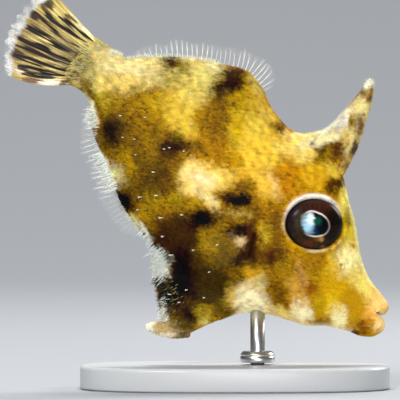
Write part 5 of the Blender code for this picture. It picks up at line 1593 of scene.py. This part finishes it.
def cone_mesh(starts, ends, width, sides):
    """Points and faces of closed cones from arrays of roots and tips."""
    axis = unit(ends - starts)
    other = np.where(np.abs(axis[:, 1:2]) < 0.8, [[0.0, 1.0, 0.0]], [[1.0, 0.0, 0.0]])
    first = unit(np.cross(axis, other))
    second = np.cross(axis, first)
    turn = np.linspace(0, 2 * math.pi, sides, endpoint=False)[None, :, None]
    base = starts[:, None] + width * (first[:, None] * np.cos(turn) + second[:, None] * np.sin(turn))
    faces = []
    for a in range(0, len(starts) * (sides + 1), sides + 1):
        faces += [(a + j, a + (j + 1) % sides, a + sides) for j in range(sides)]
        faces.append(tuple(range(a + sides - 1, a - 1, -1)))
    return np.concatenate([base, ends[:, None]], axis=1).reshape(-1, 3), faces


def join_meshes(parts):
    """Joins (points, faces) pairs into one."""
    points, faces, at = [], [], 0
    for part_points, part_faces in parts:
        points.append(part_points)
        faces += [tuple(i + at for i in face) for face in part_faces]
        at += len(part_points)
    return np.concatenate(points), faces


# %% [markdown]
# The spine's bone shows through a thin dry skin: light passes into it a little, and fine grains of real
# size make it dull and uneven.

# %% Bone material
BONE_GRAIN = 0.15 * MM


def thin_skin_over_bone(name):
    """Bone under a thin dry skin: light passes into it a little, and fine grains make it dull."""
    material, tree, shader = new_material(
        name, Roughness=0.5, Subsurface_Weight=0.15, Subsurface_Scale=0.4 * MM)
    colour, _ = vertex_colour(tree, "markings")
    grain = noise(tree, object_place(tree), BONE_GRAIN, 4.0)
    tinted = vector_math(tree, "SCALE", colour, map_range(tree, grain, 0.75, 1.15, 0.3, 0.7))
    feed(tree, shader, Base_Color=tinted)
    add_bump(tree, shader, grain, 0.7, 0.05 * MM)
    return material


bone_material = thin_skin_over_bone("thin_skin_over_bone")


def bone_piece(name, parts):
    """One object of thin skin over bone, with the markings of the photograph."""
    points, faces = join_meshes(parts)
    piece = mesh_piece(name, points * MM, faces, bone_material)
    paint(piece, "markings", marked_colour(points))
    print(name, len(piece.data.polygons), "faces")
    return piece


# %% [markdown]
# The shaft is a lumpy tube. Barbs point down along both sides of its rear edge, thorns stand all over it
# and lean to the tip, and longer ones make the ragged white cap.

# %% Make the spine
def make_spine():
    parts = [lumpy_tube(spine_surface, SPINE_RINGS, SPINE_SIDES, SPINE_LUMPS)]
    at = np.linspace(BARBS_FROM, BARBS_TO, BARBS)
    s, h = spine_middle(at)
    size = BARB_LENGTH * (1.1 - 0.35 * at)
    for side in (-1, 1):
        starts = spine_surface(at - 0.01, math.pi - side * BARB_TURN) * 0.8 + spine_surface(at, 0.0) * 0.2
        outer = to_world(s + 0.4 + size * 0.8, side * (0.4 + 0.7 * size), h - 0.1 - 0.75 * size) / MM
        parts.append(cone_mesh(starts, outer, BARB_WIDTH, BARB_SIDES))
    draw = np.random.default_rng(73)
    at, around = draw.uniform(0.12, 0.99, THORNS), draw.uniform(0, 2 * math.pi, THORNS)
    roots = spine_surface(at, around)
    s, h = spine_middle(at)
    out = unit(roots - to_world(s, 0 * s, h) / MM)
    tips = roots + out * draw.uniform(*THORN_LENGTHS, THORNS)[:, None]
    tips += SPINE_WAY * draw.uniform(*THORN_LEANS, THORNS)[:, None]
    parts.append(cone_mesh(roots - out * 0.05, tips, THORN_WIDTH, THORN_SIDES))
    roots = spine_surface(draw.uniform(CAP_FROM, 1.0, CAP_THORNS), draw.uniform(0, 2 * math.pi, CAP_THORNS))
    ways = 0.6 * SPINE_WAY + draw.normal(0, CAP_STRAY, (CAP_THORNS, 3))
    tips = roots + ways * draw.uniform(*CAP_LENGTHS, CAP_THORNS)[:, None]
    parts.append(cone_mesh(roots - ways * 0.1, tips, CAP_THORN_WIDTH, THORN_SIDES))
    return bone_piece("barbed_spine", parts)


spine = make_spine()

# %% [markdown]
# ## Pelvic scales
# The pelvic bone ends in a blunt knob under a sheath of small scales. Each of them ends in a short thorn
# that lies towards the knob's tip, so the knob is smooth from root to tip and rough the other way.

# %% Make the pelvic scales
PELVIC_ROOT, PELVIC_TIP = (16.1, -15.5), (20.4, -18.05)
PELVIC_HALF_DEPTH, PELVIC_HALF_WIDTH = 0.85, 0.72
PELVIC_RINGS, PELVIC_SIDES = 60, 64
PELVIC_LUMPS = [(0.05, 0.7, 82), (0.025, 0.3, 83)]
PELVIC_THORNS, PELVIC_THORN_WIDTH, PELVIC_THORN_SIDES = 260, 0.05, 5
PELVIC_THORN_SUNK, PELVIC_THORN_OUT, PELVIC_THORN_LENGTHS = -0.03, 0.09, (0.04, 0.07)


def pelvic_surface(t, turn, grow=0.0):
    """A place on the knob: turn is 0 at its right edge and rises over the top."""
    root, tip = np.array(PELVIC_ROOT), np.array(PELVIC_TIP)
    along = unit(tip - root)
    swell = np.maximum(0.12, np.sin(math.pi * (0.1 + 0.84 * t)) ** 0.7)
    over = (PELVIC_HALF_DEPTH * swell + grow) * np.sin(turn)
    s = root[0] + (tip[0] - root[0]) * t - along[1] * over
    h = root[1] + (tip[1] - root[1]) * t + along[0] * over
    return to_world(s, -(PELVIC_HALF_WIDTH * swell + grow) * np.cos(turn), h) / MM


def make_pelvic_scales():
    parts = [lumpy_tube(pelvic_surface, PELVIC_RINGS, PELVIC_SIDES, PELVIC_LUMPS)]
    draw = np.random.default_rng(81)
    at, around = draw.uniform(0.08, 0.92, PELVIC_THORNS), draw.uniform(0, 2 * math.pi, PELVIC_THORNS)
    starts = pelvic_surface(at, around, PELVIC_THORN_SUNK)
    ends = pelvic_surface(at + draw.uniform(*PELVIC_THORN_LENGTHS, PELVIC_THORNS), around, PELVIC_THORN_OUT)
    parts.append(cone_mesh(starts, ends, PELVIC_THORN_WIDTH, PELVIC_THORN_SIDES))
    return bone_piece("pelvic_scale_sheath", parts)


pelvic_scales = make_pelvic_scales()

# %% [markdown]
# ## Display stand
# A pale lacquered base with rounded edges, a round steel rod that enters the belly, and a turned collar
# with a groove, which sits on the rod a little above the base.

# %% Stand shapes
BASE_LENGTH, BASE_WIDTH, BASE_THICKNESS, BASE_BEVEL = 34.0, 21.0, 2.6, 0.45
BASE_SQUARENESS, BASE_SIDES = 2.6, 192
ROD_X, ROD_RADIUS, ROD_TOP, ROD_SIDES = 2.5, 0.8, 9.4, 48
COLLAR_RADIUS, COLLAR_HEIGHT, COLLAR_BORE_GAP, COLLAR_SIDES = 1.9, 1.2, 0.02, 64
COLLAR_FOOT = BASE_THICKNESS + 0.3
COLLAR_LINE = [
    (-0.1, -0.02), (0.0, 0.08), (0.0, 0.62), (-0.07, 0.66), (-0.07, 0.74), (0.0, 0.78), (-0.02, 0.9),
    (-0.3, COLLAR_HEIGHT),
]


def revolved(name, profile, material, sides, scale_x=0.0, scale_y=0.0, squareness=2.0, centre_x=0.0):
    """A closed solid of rings from (radius, z) pairs in mm; the first and last ring are capped."""
    turn = np.linspace(0, 2 * math.pi, sides, endpoint=False)
    x, y = (np.sign(way) * np.abs(way) ** (2 / squareness) for way in (np.cos(turn), np.sin(turn)))
    rings = [np.stack([centre_x + (scale_x + r) * x, (scale_y + r) * y, 0 * x + z], -1) for r, z in profile]
    return mesh_piece(name, np.concatenate(rings) * MM, tube_faces(len(profile), sides), material)


# %% [markdown]
# The lacquer is sprayed on metal, so it has a soft sheen with a faint orange peel. The steel comes from a
# lathe: fine lines run round it and draw its reflections out.

# %% Stand materials
def lacquered_base():
    """Sprayed satin lacquer on metal: a soft sheen with a faint orange peel."""
    material, tree, shader = new_material(
        "satin_lacquer", Base_Color=linear("#B9BBBC"), Roughness=0.38, Coat_Weight=0.15, Coat_Roughness=0.3)
    peel = noise(tree, object_place(tree), 0.6 * MM)
    add_bump(tree, shader, peel, 0.12, 0.05 * MM)
    feed(tree, shader, Roughness=map_range(tree, peel, 0.3, 0.46))
    return material


def turned_steel():
    """Stainless steel from a lathe: bright, with fine lines round it that spread the reflections."""
    material, tree, shader = new_material(
        "turned_stainless_steel", Base_Color=linear("#C9CACB"), Metallic=1.0, Roughness=0.28)
    upwards = add_node(tree, "ShaderNodeMapping", {"Vector": object_place(tree), "Scale": (0.0, 0.0, 1.0)})
    lines = noise(tree, upwards.outputs[0], 0.05 * MM)
    feed(tree, shader, Roughness=map_range(tree, lines, 0.22, 0.36))
    add_bump(tree, shader, lines, 0.1, 0.01 * MM)
    return material


lacquer, steel = lacquered_base(), turned_steel()

# %% [markdown]
# Each part of the stand is a stack of rings round an upright axis. The base has a larger round at its
# upper edge than at its lower one.

# %% Make the stand
base_line = [
    (BASE_BEVEL * (math.sin(a) - 1), BASE_BEVEL * (1 - math.cos(a)) / 2)
    for a in np.linspace(0, math.pi / 2, 6)]
base_line += [
    (BASE_BEVEL * (math.cos(a) - 1), BASE_THICKNESS - BASE_BEVEL * (1 - math.sin(a)))
    for a in np.linspace(0, math.pi / 2, 9)]
stand_base = revolved(
    "stand_base_lacquered", base_line, lacquer, BASE_SIDES, BASE_LENGTH / 2, BASE_WIDTH / 2, BASE_SQUARENESS)
rod_line = [(ROD_RADIUS - 0.05, BASE_THICKNESS), (ROD_RADIUS, COLLAR_FOOT), (ROD_RADIUS, ROD_TOP)]
stand_rod = revolved("stand_rod_turned", rod_line, steel, ROD_SIDES, centre_x=ROD_X)
collar_line = [(ROD_RADIUS + COLLAR_BORE_GAP, COLLAR_FOOT - 0.02)]
collar_line += [(COLLAR_RADIUS + inset, COLLAR_FOOT + z) for inset, z in COLLAR_LINE]
collar_line += [(ROD_RADIUS + COLLAR_BORE_GAP, COLLAR_FOOT + COLLAR_HEIGHT)]
stand_collar = revolved("stand_collar_turned", collar_line, steel, COLLAR_SIDES, centre_x=ROD_X)
print("stand:", [len(piece.data.polygons) for piece in (stand_base, stand_rod, stand_collar)], "faces")

# %% [markdown]
# ## The velvet coat
# Each scale of a filefish ends in spinules, so the skin feels like velvet. Bump alone would leave the
# outline smooth, so tens of thousands of small closed cones stand on the skin and lie towards the tail.
# Geometry Nodes spread them over the skin with a mask for each side. Each cone takes its colour and its
# place on the unwrap from the skin under its root.

# %% Unwrap and masks on the skin
UNWRAP_MARGIN = 0.02
FACE_COAT, BRISTLE_COAT, FLAP_COAT = 0.45, 1.1, 1.0
POLES = [0.0, 0.0]
ring_share, turn_share = np.meshgrid(np.linspace(0, 1, rows), np.arange(columns) / columns, indexing="ij")
unwrap = UNWRAP_MARGIN + (1 - 2 * UNWRAP_MARGIN) * np.stack([ring_share, turn_share], axis=-1).reshape(-1, 2)
unwrap = np.vstack([unwrap, [UNWRAP_MARGIN, 0.5], [1 - UNWRAP_MARGIN, 0.5]])
attribute = skin.data.attributes.new("unwrap", "FLOAT2", "POINT")
attribute.data.foreach_set("vector", unwrap.astype(np.float32).reshape(-1))

bare = np.zeros(skin_points.shape[:2])
for side in (-1, 1):
    gap, _ = eye_distance(skin_points, side)
    bare = np.maximum(bare, 1 - smooth_step(0.6, 0.9, gap))
    on_side = skin_points[..., 1] * side > SIDE_FROM_Y
    for s0, h0, radius, _ in NOSTRILS:
        bare = np.maximum(bare, on_side * (np.hypot(s_grid - s0, h_grid - h0) < radius * 2))
bare = np.maximum(bare, slit)
on_face = 1 - smooth_step(2.6, 8.0, s_grid)
coated = (1 - bare) * smooth_step(2.2, 3.4, s_grid) * (1 - smooth_step(44.6, 45.1, s_grid))
length_mask = (FACE_COAT + (1 - FACE_COAT) * (1 - on_face)) * (1 + 0.25 * ripple(skin_points, 3.0, 91))
length_mask += BRISTLE_COAT * np.exp(-((s_grid - 41.5) / 2.6) ** 2 - ((h_grid - 0.3) / 2.4) ** 2)
on_flap_rear = (s_grid > 18.2) * (s_grid < 26.5)
length_mask += FLAP_COAT * np.maximum(0, 1 - np.abs(h_grid - flap_edge(s_grid)) / 1.4) * on_flap_rear
number(skin, "coat_right", np.append(coated * (y_grid < 0.02), POLES))
number(skin, "coat_left", np.append(coated * (y_grid > -0.02), POLES))
number(skin, "coat_length", np.append(length_mask, POLES))
print("share of the skin under the coat:", round(float(coated.mean()), 2))

# %% [markdown]
# The tree spreads points over one side of the skin, stands a three-sided cone on each, leans it towards
# the tail with a little ruffle, and stretches it to its own length. The map OFBake places a small
# triangle on the unwrap at the cone's root.

# %% Geometry Nodes tree for the coat
COAT_INPUTS = [
    ("Skin", "Geometry"), ("Mask", "String"), ("Spacing", "Float"), ("Per area", "Float"), ("Seed", "Int"),
    ("Length", "Float"), ("Width", "Float"), ("Lean", "Float"), ("Lie", "Vector"), ("Ruffle", "Float"),
    ("Material", "Material"),
]
SHORTEST, LONGEST = 0.65, 1.3
PATCH_ON_UNWRAP = 0.0015


def coat_tree():
    tree, given = new_tree("spinule_coat", COAT_INPUTS, "Coat")
    spread = add_node(tree, "GeometryNodeDistributePointsOnFaces", {
        "Mesh": given["Skin"], "Distance Min": given["Spacing"], "Density Max": given["Per area"],
        "Density Factor": named(tree, given["Mask"]), "Seed": given["Seed"]}, distribute_method="POISSON")
    lie = vector_math(tree, "SCALE", given["Lie"], given["Lean"])
    leaning = vector_math(tree, "ADD", spread.outputs["Normal"], lie)
    stray = add_node(tree, "FunctionNodeRandomValue", {
        "Min": (-1, -1, -1), "Max": (1, 1, 1), "Seed": given["Seed"]}, data_type="FLOAT_VECTOR").outputs[0]
    way = vector_math(tree, "ADD", leaning, vector_math(tree, "SCALE", stray, given["Ruffle"]))
    turned = add_node(tree, "FunctionNodeAlignRotationToVector", {"Vector": way}, axis="Z")
    cone = add_node(tree, "GeometryNodeMeshCone", {
        "Vertices": 3, "Side Segments": 1, "Fill Segments": 1, "Radius Top": 0.0, "Radius Bottom": 1.0,
        "Depth": 1.0})
    tuft = add_node(tree, "GeometryNodeStoreNamedAttribute", {
        "Geometry": cone.outputs["Mesh"], "Name": "tuft_place",
        "Value": add_node(tree, "GeometryNodeInputPosition").outputs[0]},
        data_type="FLOAT_VECTOR", domain="POINT")
    factor = add_node(tree, "FunctionNodeRandomValue", {
        "Min": SHORTEST, "Max": LONGEST, "Seed": given["Seed"]}, data_type="FLOAT").outputs[1]
    tall = given["Length"]
    for more in (factor, named(tree, "coat_length")):
        tall = add_node(tree, "ShaderNodeMath", {0: tall, 1: more}, operation="MULTIPLY").outputs[0]
    scale = add_node(tree, "ShaderNodeCombineXYZ", {"X": given["Width"], "Y": given["Width"], "Z": tall})
    stand = add_node(tree, "GeometryNodeInstanceOnPoints", {
        "Points": spread.outputs["Points"], "Instance": tuft.outputs[0],
        "Rotation": turned.outputs[0], "Scale": scale.outputs[0]})
    real = add_node(tree, "GeometryNodeRealizeInstances", {"Geometry": stand.outputs[0]})
    patch = vector_math(tree, "SCALE", named(tree, "tuft_place", "FLOAT_VECTOR"), PATCH_ON_UNWRAP)
    uv = vector_math(tree, "ADD", named(tree, "unwrap", "FLOAT_VECTOR"), patch)
    stored = add_node(tree, "GeometryNodeStoreNamedAttribute", {
        "Geometry": real.outputs[0], "Name": "OFBake", "Value": uv}, data_type="FLOAT2", domain="CORNER")
    return finish_tree(tree, "Coat", stored.outputs[0], given["Material"])


# %% [markdown]
# The cones are about 0.2 mm long, with 0.085 mm between them, and lie well over towards the tail. Each
# side is a piece of its own, with its own fixed seed.

# %% Grow the coat
COAT_SPACING, COAT_LENGTH, COAT_WIDTH = 0.085 * MM, 0.2 * MM, 0.034 * MM
COAT_PER_AREA = 60e6
COAT_LEAN, COAT_RUFFLE = 1.5, 0.35
TAILWARDS = (-math.cos(PITCH), 0.0, math.sin(PITCH))
spinules = coat_tree()
coats = []
for mask, seed in (("coat_right", 5), ("coat_left", 6)):
    coat = run_tree(mask, skin, spinules, {
        "Mask": mask, "Spacing": COAT_SPACING, "Per area": COAT_PER_AREA, "Seed": seed,
        "Length": COAT_LENGTH, "Width": COAT_WIDTH, "Lean": COAT_LEAN, "Lie": TAILWARDS,
        "Ruffle": COAT_RUFFLE, "Material": skin_material})
    coats.append(coat)
    print(mask, len(coat.data.polygons), "triangles")

# %% [markdown]
# ## Camera, light and floor
# A long lens in front of the fish's right side gives the photograph's flat side view. Light comes
# softly from above and the left, as in the photograph, over a pale floor that curves up to a wall.

# %% Stage
SENSOR_MM = 36.0
SWEEP_START, SWEEP_RADIUS, SWEEP_FRONT, SWEEP_TOP, SWEEP_HALF_WIDTH = 0.5, 0.5, -1.2, 1.6, 2.0
FRAME_WIDTH = PHOTO_PIXELS * PIXEL_MM * MM
LIGHT_TARGET = Vector((0, 0, 0.02))
LIGHTS = [
    ("key", (-0.14, -0.26, 0.26), 0.12, 1.0),
    ("front", (0.0, -0.75, 0.06), 0.5, 3.3),
    ("top", (0.02, 0.05, 0.35), 0.2, 0.15),
    ("rim", (0.22, 0.16, 0.16), 0.12, 0.5),
    ("wall", (0.0, 0.35, 0.9), 0.4, 11.0),
    ("low fill", (0.03, -0.3, 0.004), 0.1, 0.28),
]


def add_light(name, place, size, power):
    data = bpy.data.lights.new(name, "AREA")
    data.shape, data.size, data.energy = "DISK", size, power
    lamp = new_object(name, data)
    lamp.location = place
    lamp.rotation_euler = (LIGHT_TARGET - Vector(place)).to_track_quat("-Z", "Y").to_euler()


def make_stage():
    material, _, _ = new_material("matt_paper_sweep", Base_Color=linear("#989B9F"), Roughness=0.9)
    profile = [(SWEEP_FRONT, 0.0), (SWEEP_START, 0.0)]
    turns = np.linspace(0.1, math.pi / 2, 14)
    profile += [(SWEEP_START + SWEEP_RADIUS * math.sin(a), SWEEP_RADIUS * (1 - math.cos(a))) for a in turns]
    profile += [(SWEEP_START + SWEEP_RADIUS, SWEEP_TOP)]
    points = np.array([[(x, y, z) for y, z in profile] for x in (-SWEEP_HALF_WIDTH, SWEEP_HALF_WIDTH)])
    sweep = mesh_piece("paper_sweep", points, grid_quads(2, len(profile)).tolist(), material, closed=False)
    sweep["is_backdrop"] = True


def make_camera():
    data = bpy.data.cameras.new("camera")
    data.sensor_width = SENSOR_MM
    data.lens = SENSOR_MM * CAMERA_DISTANCE * MM / FRAME_WIDTH
    data.clip_start = 0.01
    camera = new_object("camera", data)
    centre_x = PHOTO_LEFT_X * MM + FRAME_WIDTH / 2
    centre_z = PHOTO_TOP_Z * MM - FRAME_WIDTH / 2
    camera.location = (centre_x, -CAMERA_DISTANCE * MM, centre_z)
    camera.rotation_euler = (math.pi / 2, 0, 0)
    bpy.context.scene.camera = camera


make_stage()
make_camera()
for light in LIGHTS:
    add_light(*light)
world = bpy.data.worlds.new("studio")
world.use_nodes = True
world.node_tree.nodes["Background"].inputs["Color"].default_value = linear("#E4E4E4")
world.node_tree.nodes["Background"].inputs["Strength"].default_value = 0.18
bpy.context.scene.world = world
bpy.context.scene.view_settings.view_transform = "Standard"
print("lens in mm:", round(bpy.context.scene.camera.data.lens, 1), "lights:", len(LIGHTS))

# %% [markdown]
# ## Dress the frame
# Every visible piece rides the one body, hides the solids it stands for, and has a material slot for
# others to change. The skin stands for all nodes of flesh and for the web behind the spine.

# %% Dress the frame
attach(skin, "root")
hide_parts("head", "trunk", "tail_stalk", "ventral_flap", "upper_lip", "lower_lip", "dorsal_spine_web")
for node, eye in eyes.items():
    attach(eye, "root")
    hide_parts(node)
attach(tail, "root")
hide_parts("tail_fin")
for node, pieces in (("soft_dorsal_fin", dorsal_pieces), ("anal_fin", anal_pieces)):
    for piece in pieces:
        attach(piece, "root")
    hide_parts(node)
for node, fin in pectorals.items():
    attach(fin, "root")
    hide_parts(node)
for node, piece, slot in (
    ("dorsal_spine", spine, "spine"), ("pelvic_scales", pelvic_scales, "spine"),
    ("stand_base", stand_base, "stand"), ("stand_rod", stand_rod, "rod"),
    ("stand_collar", stand_collar, "rod"),
):
    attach(piece, "root")
    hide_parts(node)
for piece in (*coats, bristles, tassels):
    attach(piece, "root")

# %% [markdown]
# The box of the visible pieces is measured, and the frame is finished.

# %% Measure the sizes
low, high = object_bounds()
